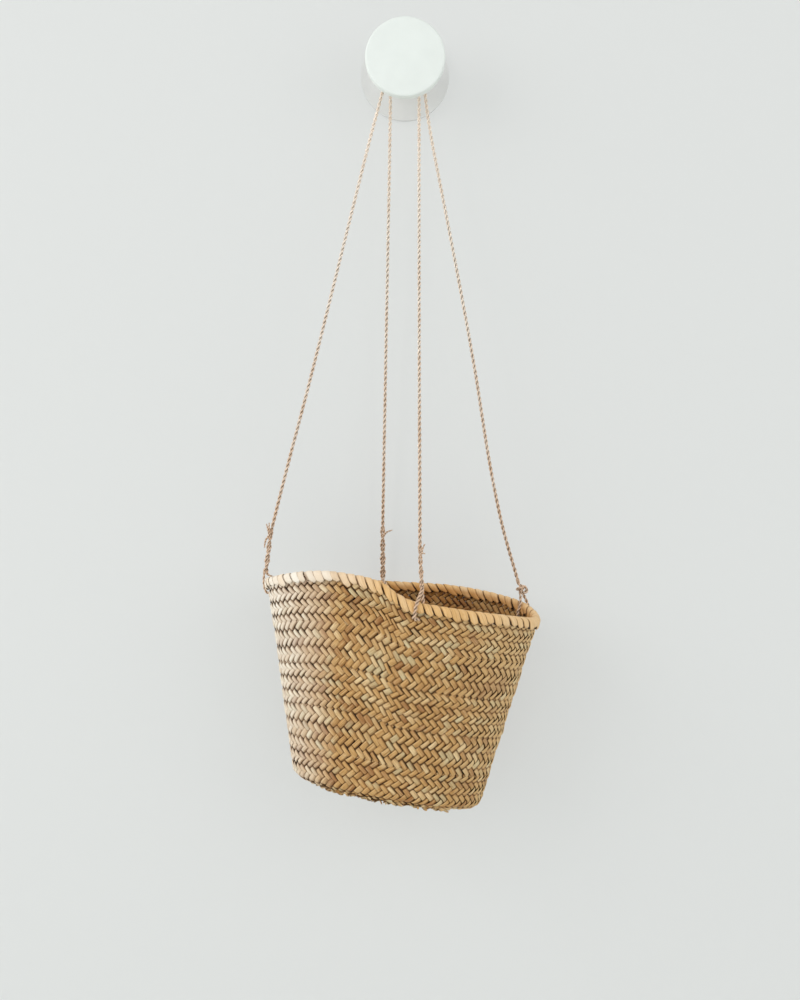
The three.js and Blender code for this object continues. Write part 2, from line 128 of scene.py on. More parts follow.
# Twist of the cords
PLY_COUNT = 2
PLY_SHARE = 0.56  # thickness of a ply as a share of its cord's
PLY_SIDES = 8
STEPS_PER_LAY = 12
THINNING_START = 0.4  # where along its length a cord starts to thin towards its end
CORD_FIBRES = 60000.0  # per square metre
FIBRE_LENGTH = 0.0019
FIBRE_LENGTH_SPREAD = (0.4, 1.2)
FIBRE_RADIUS = 0.00007
FIBRE_LEANS = (-1.3, 1.3)
ROUTE_STEP = 0.002
FINE_STEP = 0.001
FIRST_SIDE = (0.31, 0.94, 0.17)  # any direction that no route starts along
ROUND_CORD_POINTS = 241
ROUND_CORD_LAY = 3  # in diameters
SEWING_DEPTH = 0.7  # how far the sewing lies behind the middle of the leaf, in diameters

# Cords on the neck of the peg
NECK_Y = -0.031
INNER_BIGHT_RADIUS = 0.0124
OUTER_BIGHT_RADIUS = 0.0159
BIGHT_POINTS = 33
LAP_POINTS = 2  # points by which a leg runs on over its bight

# Legs of the two cords, from the neck down to the splice or knot at the basket
LEG_ROUTES = {
    "left": (
        (-0.0159, -0.031, -0.0008), (-0.0172, -0.0314, -0.012), (-0.0218, -0.033, -0.032),
        (-0.030, -0.0353, -0.066), (-0.044, -0.0398, -0.128), (-0.0605, -0.047, -0.202),
        (-0.0775, -0.0545, -0.278), (-0.095, -0.0615, -0.352), (-0.105, -0.0655, -0.396),
        (-0.108, -0.0667, -0.410),
    ),
    "right": (
        (0.0159, -0.031, -0.0008), (0.017, -0.0314, -0.012), (0.019, -0.032, -0.032),
        (0.0236, -0.0328, -0.060), (0.037, -0.0347, -0.125), (0.0514, -0.0368, -0.195),
        (0.065, -0.0389, -0.265), (0.077, -0.041, -0.335), (0.0838, -0.0421, -0.370),
        (0.092, -0.0431, -0.405), (0.1022, -0.0441, -0.439), (0.1058, -0.0445, -0.451),
    ),
    "back": (
        (-0.0124, -0.031, -0.0008), (-0.0125, -0.0308, -0.012), (-0.0124, -0.0299, -0.032),
        (-0.0124, -0.0275, -0.080), (-0.0128, -0.0215, -0.195), (-0.0132, -0.0153, -0.313),
        (-0.0134, -0.0116, -0.385), (-0.0134, -0.0104, -0.408),
    ),
    "front": (
        (0.0124, -0.031, -0.0008), (0.0126, -0.0322, -0.012), (0.0128, -0.0364, -0.032),
        (0.0134, -0.047, -0.080), (0.0148, -0.0725, -0.188), (0.0163, -0.097, -0.292),
        (0.0179, -0.1192, -0.386), (0.0184, -0.1272, -0.420),
    ),
}

# Loose tails of cord at the splices, from the end of the leg
TAIL_ROUTES = {
    "left": (
        (
            (-0.0004, -0.0012, -0.006), (-0.0012, -0.0022, -0.001), (-0.0024, -0.0026, 0.004),
            (-0.0036, -0.0024, 0.008),
        ),
        (
            (-0.0002, -0.0012, -0.005), (-0.0006, -0.0024, 0.0), (-0.0012, -0.003, 0.004),
            (-0.0012, -0.0032, 0.009),
        ),
        (
            (-0.0014, -0.0016, -0.002), (-0.0036, -0.0022, -0.005), (-0.0046, -0.0022, -0.008),
            (-0.005, -0.002, -0.012),
        ),
    ),
    "back": (
        (
            (0.0002, -0.0006, -0.008), (0.0016, -0.0016, -0.003), (0.0044, -0.0022, -0.0002),
            (0.0085, -0.0024, 0.0012),
        ),
    ),
    "front": (
        (
            (0.0, -0.0008, -0.007), (0.0014, -0.0018, -0.002), (0.0024, -0.002, 0.002),
            (0.0038, -0.0016, 0.005),
        ),
        (
            (0.0, -0.0008, -0.006), (0.0012, -0.002, -0.003), (0.0026, -0.0022, -0.0024),
            (0.0042, -0.002, -0.003),
        ),
    ),
}

# The knot in the right leg, from its middle: down from the leg, once round, then out into a ring
KNOT_ROUTE = (
    (-0.0020, 0.0006, 0.0070), (-0.0012, -0.0012, 0.0038), (0.0008, -0.0026, 0.0020),
    (0.0022, -0.0006, 0.0006), (0.0008, 0.0022, -0.0004), (-0.0016, 0.0016, -0.0008),
    (-0.0020, -0.0012, -0.0006), (0.0, -0.0030, 0.0002), (0.0026, -0.0026, 0.0014),
    (0.0046, -0.0020, 0.0010), (0.0056, -0.0018, -0.0012), (0.0046, -0.0020, -0.0034),
    (0.0024, -0.0024, -0.0036), (0.0009, -0.0028, -0.0018), (0.0016, -0.0034, 0.0002),
    (0.0034, -0.0034, 0.0006),
)

# Sheets, the smooth surfaces that leaves are laid on
SHEET_COLUMNS = 180
SHEET_MARGIN = 0.14  # how far a sheet runs on past its own start, as a share of a turn
ROUND_POINTS = 721  # points at which the way round is measured
HAND_SWAY = 0.0007  # how far the hand-plaited wall strays from its even form
HAND_SWAY_SPACING = 0.022
HAND_SEED = 1
ANGLE_STEP = 0.02  # small steps, to find directions on the leaf
DROP_STEP = 0.0005

# Leaves
LEAF_SIDES = 8
LEAF_FLATNESS = 0.45  # under 1, a leaf's section is squarer than an ellipse
STRIP_WORKINGS = ("along", "across", "up", "number")
SHARP_ANGLE = math.radians(65)
GRAIN_SHIFT = 3.7  # keeps the streaks of one leaf apart from the next one's

# Plait. Distances count in rows and columns of floats
STEPS_PER_ROW = 6
LEVELS_PER_ROW = 4
SPARE_LEVELS = 9
ROW_OVERRUN = 0.4  # how far a leaf runs on under the next course
SHEET_OVERRUN = 0.4  # how much further its sheet runs on
TUCK = 6.5  # how steeply a leaf dips under the next course
WANDER = 0.26  # how far a leaf strays to its sides
LEAF_HALF_WIDTHS = (0.235, 0.265)
LEAF_LEANS = (-0.6, -0.1)
LIFT_SPREAD = (0.85, 1.15)
# strength of the painted shade along a leaf's low edge, at random for each patch
PLAIT_EDGE_SHADINGS = (0.0, 1.1)
WANDER_PACE = 0.8  # how quickly a leaf strays along its way
WANDER_APART = 9.7  # keeps one leaf's way apart from the next one's
ZONE_PACE = (0.11, 0.55)  # how quickly the tone changes from zone to zone, along a row and from row to row
ZONE_APART = 3.1
PATCH_ROWS = 32.0  # more rows than any leaf crosses, so that each patch of leaf has a number of its own
FIRST_PATCH = 8.0
INNER_RISE = (-0.2, -0.6)  # a leaf that dips this far shows on the inside
BASE_TURN_SEED = 21
BASE_RING_SEED = 31

# Cut ends of leaf along the front of the base
LOOSE_COUNT = 110
LOOSE_START = 0.585  # where they start and stop, as shares of a turn
LOOSE_STOP = 0.89
LOOSE_BAND = 0.009
LOOSE_LENGTH = 0.0045
LOOSE_WIDTH = 0.0038
LOOSE_LIFT = 0.0024
LOOSE_STEPS = 5
LOOSE_SEED = 41
LOOSE_TURNS = (-0.5, 0.5)
LOOSE_LENGTH_SPREAD = (0.6, 1.4)
LOOSE_HALF_WIDTHS = (0.35, 0.6)
LOOSE_LEVELS = (0.1, 0.9)
LOOSE_LIFT_SPREAD = (0.2, 1.2)
LOOSE_TONES = (0.3, 1.0)

# Wraps of the rim. Widths, shifts and slants count in wraps, and lengths as a share of a wrap
WRAP_STEPS = 18
WRAP_SLANT = 1.8
WRAP_SLANT_SPREAD = (-0.3, 0.3)
INNER_SLANT = 1.5  # how much more the wraps slant inside the basket
WRAP_STARTS = (0.04, 0.16)
WRAP_ENDS = (0.86, 0.99)
WRAP_HALF_WIDTHS = (0.54, 0.66)
WRAP_SHIFTS = (-0.1, 0.1)
WRAP_BULGES = (0.7, 1.3)
WRAP_TIP = 0.11  # length of a wrap's rounded end
WRAP_TUCK_LENGTH = 0.13  # length over which its outer end dips into the plait
WRAP_TUCK = 0.0016  # depth of that dip
WRAP_ZONE_PACE = 0.13
WRAP_SEED = 51
WRAP_SHEET_MARGIN = 0.12
WRAP_SHEET_LEVELS = 40
LUMPS_AT = 0.732  # the middle of the lumps beside the front cord, as a share of a turn
LUMP_SPREAD = 0.07
LUMP_HEIGHT = 0.0013

# Peg
PEG_SIDES = 128
PEG_SHARP_ANGLE = math.radians(30)
QUARTER_POINTS = 19
SEAT_GAP = 0.0003
BOLT_BORE_DIAMETER = 0.0066
BOLT_BORE_DEPTH = 0.024
PEG_BACK_BEVEL = 0.001

# Colour of the leaf. It is painted paler at the basket's left end, partly as painted light from the window on
# that side and partly as sun-bleaching, and a little paler at the right, as painted light
LIT_END_LEAF = (0.97, 0.89, 0.77)
PLAIT_LIT_END_START = -0.047
BINDING_LIT_END_START = -0.015
LIT_END_LENGTH = 0.055
# the right end is painted paler over this span, as painted light
RIGHT_PAINTED_LIGHT = (0.045, 0.115)
# painted shade along one edge of each leaf, where it meets its neighbour: where it starts and is darkest
# across the leaf, how strong it is at the paler left end, and how deep it is
PLAIT_EDGE_SHADE = (0.15, 0.88)  # where across a leaf its dark edge starts, and where it is darkest
BINDING_EDGE_SHADE = (-0.36, -0.6)
PLAIT_LIT_END_EDGE_SHADING = 1.0
BINDING_LIT_END_EDGE_SHADING = 0.15
EDGE_SHADE_DEPTH = 0.95
# painted shade on faces that lie under another leaf and show through the gaps
BURIED_SHADE = 0.03
INNER_SHADE = (0.70, 0.54, 0.36)  # painted shade: the leaf is painted darker and browner on the basket's inner side
LEAF_SHARE = 0.25  # shares of the three kinds of tone in the colour
PATCH_SHARE = 0.45
ZONE_SHARE = 0.3
TONE_STOPS = (0.2, 0.4, 0.58, 0.82)  # tones that are dark, main, main and pale
GREEN_DEPTH = 0.6
# Range of a pattern over which a colour sets in, and how strongly it does
PALE_STREAKS = (0.5, 0.68, 0.0, 0.7)
DARK_STREAKS = (0.5, 0.32, 0.0, 0.85)
DARK_BLOTCHES = (0.55, 0.75, 0.0, 0.4)
# how strongly the right end is painted paler, as painted light
RIGHT_PAINTED_LIGHT_DEPTH = 0.5
LEAF_BUMP = (0.35, 0.0004)  # strength and distance
LEAF_ROUGHNESS = (0.48, 0.68)

# Colour of the cord, by height: painted light makes it paler towards the peg and fades out the painted shade
# between its plies there; near the basket it is browner, partly as painted shade
CORD_PAINTED_LIGHT_HEIGHTS = (-0.43, -0.16)
GROOVE_FADE = (-0.17, -0.05)
GROOVE_SHADES = (0.18, 0.8)
FLECK_SCALE = 1300.0
FLECK_SHADES = (0.6, 1.4)
CORD_BLOTCH_SCALE = 60.0
CORD_BUMP = (0.5, 0.0002)

# Surface of the peg and its insert
MOTTLE_SCALE = 60.0
MOTTLE_SHADES = (0.965, 1.0)
PEG_ROUGHNESS = (0.34, 0.48)
PEG_LINE_SCALE = 90.0
PEG_LINE_STRETCH = (1.0, 14.0, 1.0)
PEG_BUMP = (0.06, 0.0005)
STEEL_DARK = (0.5, 0.49, 0.46)
STEEL_PALE = (0.68, 0.67, 0.64)
STEEL_ROUGHNESS = (0.28, 0.45)
SCRATCH_SCALE = 700.0

# Stage
WINDOW_PLACE = (-1.9, -1.3, 0.35)
FILL_PLACE = (1.7, -1.6, 0.1)
LAMP_SIZE = 1.6
LAMP_TARGET = (0.0, -0.05, -0.5)
SKY_COLOUR = (0.97, 0.99, 1.0)
SENSOR_HEIGHT = 36.0
WALL_SIDE = 3.0
WALL_BOTTOM = -1.0
WALL_TOP = 2.0
FLOOR_FRONT = -4.0
WALL_GAP = 0.0005  # from the peg's back to the wall
WALL_TOUCH = 0.003  # what is nearer than this to the wall is lit through it, so that the peg's back shows


def length_setting(name, description, default):
    return FloatProperty(name=name, description=description, default=default, unit="LENGTH")


def colour_setting(name, description, default):
    return FloatVectorProperty(name=name, description=description, default=default, subtype="COLOR")


def power_setting(name, description, default):
    return FloatProperty(name=name, description=description, default=default, min=0.0, subtype="POWER")


class StageSettings(bpy.types.PropertyGroup):
    """Camera, light and background."""

    camera_place: FloatVectorProperty(
        name="Camera place", description="Where the camera stands", default=(0.0016, -1.25, -0.3798),
        subtype="TRANSLATION", unit="LENGTH",
    )
    camera_roll: FloatProperty(
        name="Camera roll", description="Turn of the camera about its view", default=math.radians(0.92),
        subtype="ANGLE",
    )
    lens: FloatProperty(name="Lens", description="Focal length in millimetres", default=50.0, min=10.0)
    wall_colour: colour_setting("Wall", "Colour of the wall and floor", (0.755, 0.77, 0.755))
    window_power: power_setting("Window light", "Power of the large soft light", 20.0)
    fill_power: power_setting("Fill light", "Power of the light from the right", 8.0)
    sky: FloatProperty(name="Sky", description="Strength of the even light", default=0.74, min=0.0)
    evenness: FloatProperty(
        name="Evenness", description="How evenly the wall shows to the camera", default=0.58,
        subtype="FACTOR",
    )


class CordSettings(bpy.types.PropertyGroup):
    """Twisted cord."""

    diameter: length_setting("Diameter", "Thickness of the cord", 0.0032)
    lay: length_setting("Lay", "Length of one full turn of the plies", 0.0095)
    splice_left: length_setting("Left splice", "Thickness of the left splice", 0.005)
    splice_back: length_setting("Back splice", "Thickness of the back splice", 0.0056)
    splice_front: length_setting("Front splice", "Thickness of the front splice", 0.0044)
    # tan is partly painted shade near the basket, and bleached is painted light near the peg
    tan: colour_setting("Tan", "Colour of the cord near the basket", (0.74, 0.52, 0.36))
    bleached: colour_setting("Bleached", "Colour of the cord near the peg", (0.95, 0.82, 0.69))


class PlaitSettings(bpy.types.PropertyGroup):
    """Plait of crossing leaves."""

    pitch: length_setting("Pitch", "Distance between floats along a row", 0.00625)
    fill: FloatProperty(
        name="Fill", description="Leaf width as a share of its space", default=0.96, subtype="FACTOR",
    )
    thickness: length_setting("Thickness", "Thickness of one leaf", 0.0013)
    lift: length_setting("Lift", "Rise of a leaf over the ones that it crosses", 0.00105)
    straw: colour_setting("Straw", "Main colour of the leaf", (0.60, 0.345, 0.122))
    pale: colour_setting("Pale", "Colour of bleached leaves", (0.82, 0.61, 0.33))
    brown: colour_setting("Brown", "Colour of dark leaves", (0.38, 0.175, 0.055))
    green: colour_setting("Green", "Colour of leaves with some green left", (0.60, 0.55, 0.34))


class RimSettings(bpy.types.PropertyGroup):
    """Binding of the rim."""

    wrap_pitch: length_setting("Wrap pitch", "Distance between wraps", 0.0074)
    bulge: length_setting("Bulge", "Height of the crown of a wrap", 0.0011)
    thickness: length_setting("Thickness", "Thickness of the wrapping leaf", 0.0008)
    cream: colour_setting("Cream", "Colour of the binding", (0.85, 0.52, 0.215))
    bleached: colour_setting("Bleached", "Colour of pale wraps", (0.90, 0.65, 0.38))


class PegSettings(bpy.types.PropertyGroup):
    """Turned peg, with a threaded insert in its back."""

    reach: length_setting("Reach", "From wall to front", 0.062)
    base_diameter: length_setting("Base", "Width at the wall", 0.079)
    base_edge: length_setting("Base edge", "Thickness there", 0.004)
    front_diameter: length_setting("Front", "Width of the disc", 0.069)
    front_edge: length_setting("Front edge", "Thickness there", 0.008)
    edge_radius: length_setting("Rounding", "Of the disc's edge", 0.002)
    neck_diameter: length_setting("Neck", "Width of the neck", 0.021)
    neck_back: length_setting("Neck back", "Where the neck starts", 0.021)
    neck_front: length_setting("Neck front", "Where the neck ends", 0.041)
    insert_diameter: length_setting("Insert", "Its width", 0.010)
    insert_length: length_setting("Insert length", "Its depth", 0.014)
    insert_bore: length_setting("Insert bore", "Inside the thread", 0.005)
    paint: colour_setting("Paint", "Colour of the front disc", (0.86, 0.90, 0.855))
    # painted shade: the neck and base behind the disc are painted greyer
    body_in_painted_shade: colour_setting("Body paint", "Colour of the neck and base", (0.777, 0.78, 0.762))


class BasketSettings(bpy.types.PropertyGroup):
    """All settings of the hung basket."""

    stage: PointerProperty(type=StageSettings)
    cord: PointerProperty(type=CordSettings)
    plait: PointerProperty(type=PlaitSettings)
    rim: PointerProperty(type=RimSettings)
    peg: PointerProperty(type=PegSettings)


class Field:
    """A node socket that can stand in a formula."""

    def __init__(self, tree, socket):
        self.tree = tree
        self.socket = socket

    def __add__(self, other):
        return self.tree.math("ADD", self, other)

    def __sub__(self, other):
        return self.tree.math("SUBTRACT", self, other)

    def __rsub__(self, other):
        return self.tree.math("SUBTRACT", other, self)

    def __mul__(self, other):
        return self.tree.math("MULTIPLY", self, other)

    def __truediv__(self, other):
        return self.tree.math("DIVIDE", self, other)


class Tree:
    """Adds nodes to a node tree, feeds their sockets and turns formulas into Math nodes."""

    def __init__(self, nodes_of):
        self.nodes = nodes_of.nodes
        self.links = nodes_of.links

    def feed(self, socket, value):
        if isinstance(value, Field):
            self.links.new(value.socket, socket)
        elif value is not None:
            socket.default_value = value

    def add(self, kind, feeds=None, **choices):
        node = self.nodes.new(kind)
        for name, value in choices.items():
            setattr(node, name, value)
        for name, value in (feeds or {}).items():
            self.feed(node.inputs[name], value)
        return node

    def get(self, kind, feeds=None, output=0, **choices):
        return Field(self, self.add(kind, feeds, **choices).outputs[output])

    def math(self, operation, first, second=None):
        return self.get("ShaderNodeMath", {0: first, 1: second}, operation=operation)

    def vector_math(self, operation, first, second=None, output=0):
        return self.get("ShaderNodeVectorMath", {0: first, 1: second}, output, operation=operation)

    def scaled(self, vector, factor):
        return self.get("ShaderNodeVectorMath", {0: vector, "Scale": factor}, operation="SCALE")

    def combine(self, x, y, z=0.0):
        return self.get("ShaderNodeCombineXYZ", {0: x, 1: y, 2: z})

    def separate(self, vector):
        node = self.add("ShaderNodeSeparateXYZ", {0: vector})
        return [Field(self, socket) for socket in node.outputs]

    def between(self, value, low, high, to_low=0.0, to_high=1.0):
        return self.get("ShaderNodeMapRange", {0: value, 1: low, 2: high, 3: to_low, 4: to_high})

    def noise(self, vector, scale, detail=2.0, roughness=0.5):
        feeds = {"Vector": vector, "Scale": scale, "Detail": detail, "Roughness": roughness}
        return self.get("ShaderNodeTexNoise", feeds)

    def mix_colour(self, factor, first, second, blend="MIX"):
        node = self.add("ShaderNodeMix", data_type="RGBA", blend_type=blend)
        self.feed(node.inputs[0], factor)
        self.feed(node.inputs[6], first)
        self.feed(node.inputs[7], second)
        return Field(self, node.outputs[2])

    def shaded(self, tint, shade):
        return self.mix_colour(1.0, tint, self.combine(shade, shade, shade), "MULTIPLY")

    def ramp(self, value, stops):
        node = self.add("ShaderNodeValToRGB", {0: value})
        steps = node.color_ramp.elements
        while len(steps) < len(stops):
            steps.new(1.0)
        for step, (position, tint) in zip(steps, stops):
            step.position = position
            step.color = opaque(tint)
        return Field(self, node.outputs[0])


class GeometryTree(Tree):
    """A Geometry Nodes group with named inputs, from a mesh to a mesh."""

    def __init__(self, name, inputs):
        self.group = bpy.data.node_groups.new(name, "GeometryNodeTree")
        super().__init__(self.group)
        sockets = self.group.interface
        sockets.new_socket("Geometry", in_out="INPUT", socket_type="NodeSocketGeometry")
        sockets.new_socket("Geometry", in_out="OUTPUT", socket_type="NodeSocketGeometry")
        for socket_name, kind in inputs.items():
            sockets.new_socket(socket_name, in_out="INPUT", socket_type="NodeSocket" + kind)
        self.entry = self.nodes.new("NodeGroupInput")

    def given(self, name):
        return Field(self, self.entry.outputs[name])

    def attribute(self, name, data_type="FLOAT"):
        return self.get("GeometryNodeInputNamedAttribute", {"Name": name}, data_type=data_type)

    def store(self, geometry, name, value, data_type="FLOAT", domain="POINT"):
        feeds = {"Geometry": geometry, "Name": name, "Value": value}
        return self.get("GeometryNodeStoreNamedAttribute", feeds, data_type=data_type, domain=domain)

    def realize(self, geometry):
        return self.get("GeometryNodeRealizeInstances", {"Geometry": geometry})

    def random(self, low, high, number, stream):
        node = self.add("FunctionNodeRandomValue", {"ID": number}, data_type="FLOAT")
        node.inputs[2].default_value = low
        node.inputs[3].default_value = high
        self.feed(node.inputs["Seed"], self.given("Seed") + stream)
        return Field(self, node.outputs[1])

    def finish(self, geometry, spare=()):
        """Drops the working attributes, smooths all but sharp edges and sets the material."""
        for name in spare:
            geometry = self.get("GeometryNodeRemoveAttribute", {"Geometry": geometry, "Name": name})
        geometry = self.get("GeometryNodeSetShadeSmooth", {"Geometry": geometry}, domain="FACE")
        angle = self.get("GeometryNodeInputMeshEdgeAngle")
        sharp = self.get("FunctionNodeCompare", {0: angle, 1: SHARP_ANGLE}, operation="GREATER_THAN")
        feeds = {"Geometry": geometry, "Selection": sharp, "Shade Smooth": False}
        geometry = self.get("GeometryNodeSetShadeSmooth", feeds, domain="EDGE")
        feeds = {"Geometry": self.realize(geometry), "Material": self.given("Material")}
        end = self.nodes.new("NodeGroupOutput")
        self.feed(end.inputs[0], self.get("GeometryNodeSetMaterial", feeds))
        return self.group


def settings():
    return bpy.context.scene.hung_basket


def add_object(name, mesh):
    mesh.name = name
    piece = bpy.data.objects.new(name, mesh)
    bpy.context.collection.objects.link(piece)
    return piece


def run_tree(name, start, group, values):
    """Runs a tree on a starting mesh and returns its result as a plain mesh object."""
    source = bpy.data.objects.new(name + "_start", start)
    bpy.context.collection.objects.link(source)
    modifier = source.modifiers.new(group.name, "NODES")
    modifier.node_group = group
    for item in group.interface.items_tree:
        if item.in_out == "INPUT" and item.name in values:
            modifier[item.identifier] = values[item.name]
    evaluated = source.evaluated_get(bpy.context.evaluated_depsgraph_get())
    mesh = bpy.data.meshes.new_from_object(evaluated)
    bpy.data.objects.remove(source)
    bpy.data.meshes.remove(start)
    if not mesh.polygons:
        raise RuntimeError(f"{name} came out empty")
    mesh.materials.clear()
    mesh.materials.append(values["Material"])
    return add_object(name, mesh)


def joined(name, pieces):
    """Several pieces with one material as one piece."""
    shape = bmesh.new()
    for piece in pieces:
        shape.from_mesh(piece.data)
    mesh = bpy.data.meshes.new(name)
    shape.to_mesh(mesh)
    shape.free()
    mesh.materials.append(pieces[0].data.materials[0])
    for piece in pieces:
        bpy.data.objects.remove(piece)
    return add_object(name, mesh)


def place(piece, body, slot, *nodes):
    """Puts a finished piece on its body, in place of its CAD nodes."""
    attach(piece, body)
    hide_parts(*nodes)


# Basket form

def swell(distance, spread):
    """A smooth swell of height 1 that fades out over its spread to either side."""
    return 0.5 + 0.5 * np.cos(np.pi * np.minimum(np.abs(distance) / spread, 1.0))


def rim_height(angle):
    """Height of the rim over its tilted plane, on a smooth closed track through RIM_HEIGHTS."""
    where = np.array([at for at, _ in RIM_HEIGHTS], float)
    height = np.array([up for _, up in RIM_HEIGHTS], float)
    where = np.concatenate([where[-2:] - 360, where, where[:2] + 360])
    height = np.concatenate([height[-2:], height, height[:2]])
    slope = np.zeros_like(height)
    slope[1:-1] = (height[2:] - height[:-2]) / (where[2:] - where[:-2])
    turn = np.degrees(angle) % 360
    start = np.searchsorted(where, turn, side="right") - 1
    span = where[start + 1] - where[start]
    share = (turn - where[start]) / span
    ease = share * share * (3 - 2 * share)
    leaving = slope[start] * span * share * (1 - share) ** 2
    arriving = slope[start + 1] * span * share ** 2 * (share - 1)
    return height[start] + (height[start + 1] - height[start]) * ease + leaving + arriving


def oval_point(centre, length, depth, tilt, angle, inset=0.0):
    along = (length / 2 - inset) * np.cos(angle)
    across = (depth / 2 - inset) * np.sin(angle)
    return np.stack([
        centre[0] + along * math.cos(tilt),
        across - BASKET_WALL_DISTANCE,
        centre[1] - along * math.sin(tilt),
    ], axis=-1)


def rim_top(angle):
    """Top of the rim. The angle runs from the right end over the back to the left end and the front."""
    point = oval_point(RIM_CENTRE, RIM_LENGTH, RIM_DEPTH, RIM_TILT, angle)
    point[..., 2] += rim_height(angle)
    return point


def base_point(angle, inset):
    return oval_point(BASE_CENTRE, BASE_LENGTH, BASE_DEPTH, BASE_TILT, angle, inset)


def length_of(vector):
    return np.linalg.norm(vector, axis=-1, keepdims=True)


def unit(vector):
    return vector / length_of(vector)


def corner_start(angle):
    edge = base_point(angle, 0.0)
    return edge + unit(rim_top(angle) - edge) * CORNER_RADIUS


def straight_length(angle):
    return length_of(rim_top(angle) - corner_start(angle))[..., 0]


def leaf_point(angle, drop):
    """The middle of the leaf at a distance down from the top of the rim: wall, corner, then base."""
    angle, drop = np.broadcast_arrays(np.asarray(angle, float), np.asarray(drop, float))
    straight = straight_length(angle)
    top, start, edge = rim_top(angle), corner_start(angle), base_point(angle, 0.0)
    beside = swell(np.degrees(angle) % 360 - DENT_ANGLE, DENT_SPREAD)
    wall = top + (start - top) * (drop / straight)[..., None]
    wall[..., 1] += DENT_DEPTH * beside * swell(drop - DENT_MIDDLE, DENT_HEIGHT)
    share = np.clip((drop - straight) / CORNER_ARC, 0, 1)[..., None]
    turned_in = base_point(angle, CORNER_RADIUS)
    corner = (1 - share) ** 2 * start + 2 * share * (1 - share) * edge + share ** 2 * turned_in
    base = base_point(angle, CORNER_RADIUS + drop - straight - CORNER_ARC)
    on_base = (drop > straight + CORNER_ARC)[..., None]
    return np.where((drop <= straight)[..., None], wall, np.where(on_base, base, corner))


def leaf_normal(angle, drop):
    """Outward direction of the leaf."""
    along = leaf_point(angle + ANGLE_STEP, drop) - leaf_point(angle - ANGLE_STEP, drop)
    down = leaf_point(angle, drop + DROP_STEP) - leaf_point(angle, drop - DROP_STEP)
    return unit(np.cross(down, along))


def seam_drop(angle, seam):
    """Distance down to a seam between courses. Seam 0 is the upper edge and the last meets the base."""
    plait_height = straight_length(angle) + CORNER_ARC - PLAIT_EDGE_DROP
    return PLAIT_EDGE_DROP + plait_height * seam / COURSE_COUNT


# Sheets and leaves

def sheet_round(name, point_at, levels):
    """A sheet round the basket with a UV map: U once round by length, V over its levels.

    point_at gives the points for an array of angles and one level. U and V run on past 0 and 1.
    Returns the mesh and the sheet's length round its middle.
    """
    angles = np.linspace(0, 2 * np.pi, ROUND_POINTS)
    steps = length_of(np.diff(point_at(angles, 0.5), axis=0))[:, 0]
    run = np.concatenate([[0], np.cumsum(steps)])
    across = np.linspace(-SHEET_MARGIN, 1 + SHEET_MARGIN, SHEET_COLUMNS)
    turns = np.floor(across)
    at = np.interp((across - turns) * run[-1], run, angles) + turns * 2 * np.pi
    points = np.concatenate([point_at(at, level) for level in levels])
    faces = []
    for row in range(len(levels) - 1):
        for column in range(SHEET_COLUMNS - 1):
            start = row * SHEET_COLUMNS + column
            faces.append((start, start + SHEET_COLUMNS, start + SHEET_COLUMNS + 1, start + 1))
    mesh = bpy.data.meshes.new(name)
    mesh.from_pydata(points.tolist(), [], faces)
    mesh.shade_smooth()
    uv = np.stack(np.meshgrid(across, levels), axis=-1).reshape(-1, 2)
    corners = np.zeros(len(mesh.loops), int)
    mesh.loops.foreach_get("vertex_index", corners)
    layer = mesh.uv_layers.new(name="UVMap")
    layer.uv.foreach_set("vector", uv[corners].ravel().astype(np.float32))
    return mesh, run[-1]


def laid_by_hand(points):
    """Moves points a little, as a wall that was plaited by hand is never quite even."""
    noise.seed_set(HAND_SEED)
    moved = points.copy()
    for point in moved:
        point += np.array(noise.noise_vector(Vector(point) / HAND_SWAY_SPACING)) * HAND_SWAY
    return moved


def lay_on_sheet(tree, geometry, u, v, height):
    """Sets each point on the sheet at its U and V and lifts it off by its height."""
    sampled = []
    for source in ("GeometryNodeInputPosition", "GeometryNodeInputNormal"):
        node = tree.add("GeometryNodeSampleUVSurface", data_type="FLOAT_VECTOR")
        tree.feed(node.inputs["Mesh"], tree.given("Geometry"))
        tree.feed(node.inputs["Value"], tree.get(source))
        tree.feed(node.inputs["UV Map"], tree.attribute("UVMap", "FLOAT_VECTOR"))
        tree.feed(node.inputs["Sample UV"], tree.combine(u, v))
        sampled.append(Field(tree, node.outputs[0]))
    point = tree.vector_math("ADD", sampled[0], tree.scaled(sampled[1], height))
    return tree.get("GeometryNodeSetPosition", {"Geometry": geometry, "Position": point})


def strip_template(tree, steps):
    """One strip of leaf, still a plain bar, that knows where each point lies along and across it."""
    line = tree.get("GeometryNodeCurvePrimitiveLine", {"Start": (0, 0, 0), "End": (1, 0, 0)})
    line = tree.get("GeometryNodeResampleCurve", {"Curve": line, "Count": steps}, mode="COUNT")
    line = tree.store(line, "along", tree.get("GeometryNodeSplineParameter"))
    section = tree.get("GeometryNodeCurvePrimitiveCircle", {"Resolution": LEAF_SIDES, "Radius": 1.0})
    around, up, _ = tree.separate(tree.get("GeometryNodeInputPosition"))
    across = tree.math("SIGN", around) * tree.math("POWER", tree.math("ABSOLUTE", around), LEAF_FLATNESS)
    section = tree.store(section, "across", across)
    section = tree.store(section, "up", up)
    feeds = {"Curve": line, "Profile Curve": section, "Fill Caps": True}
    return tree.get("GeometryNodeCurveToMesh", feeds)


def strips(tree, count, template):
    """Copies of a strip, each of which knows its number."""
    points = tree.get("GeometryNodePoints", {"Count": count})
    points = tree.store(points, "number", tree.get("GeometryNodeInputIndex"), "INT")
    copies = tree.get("GeometryNodeInstanceOnPoints", {"Points": points, "Instance": template})
    return tree.realize(copies)


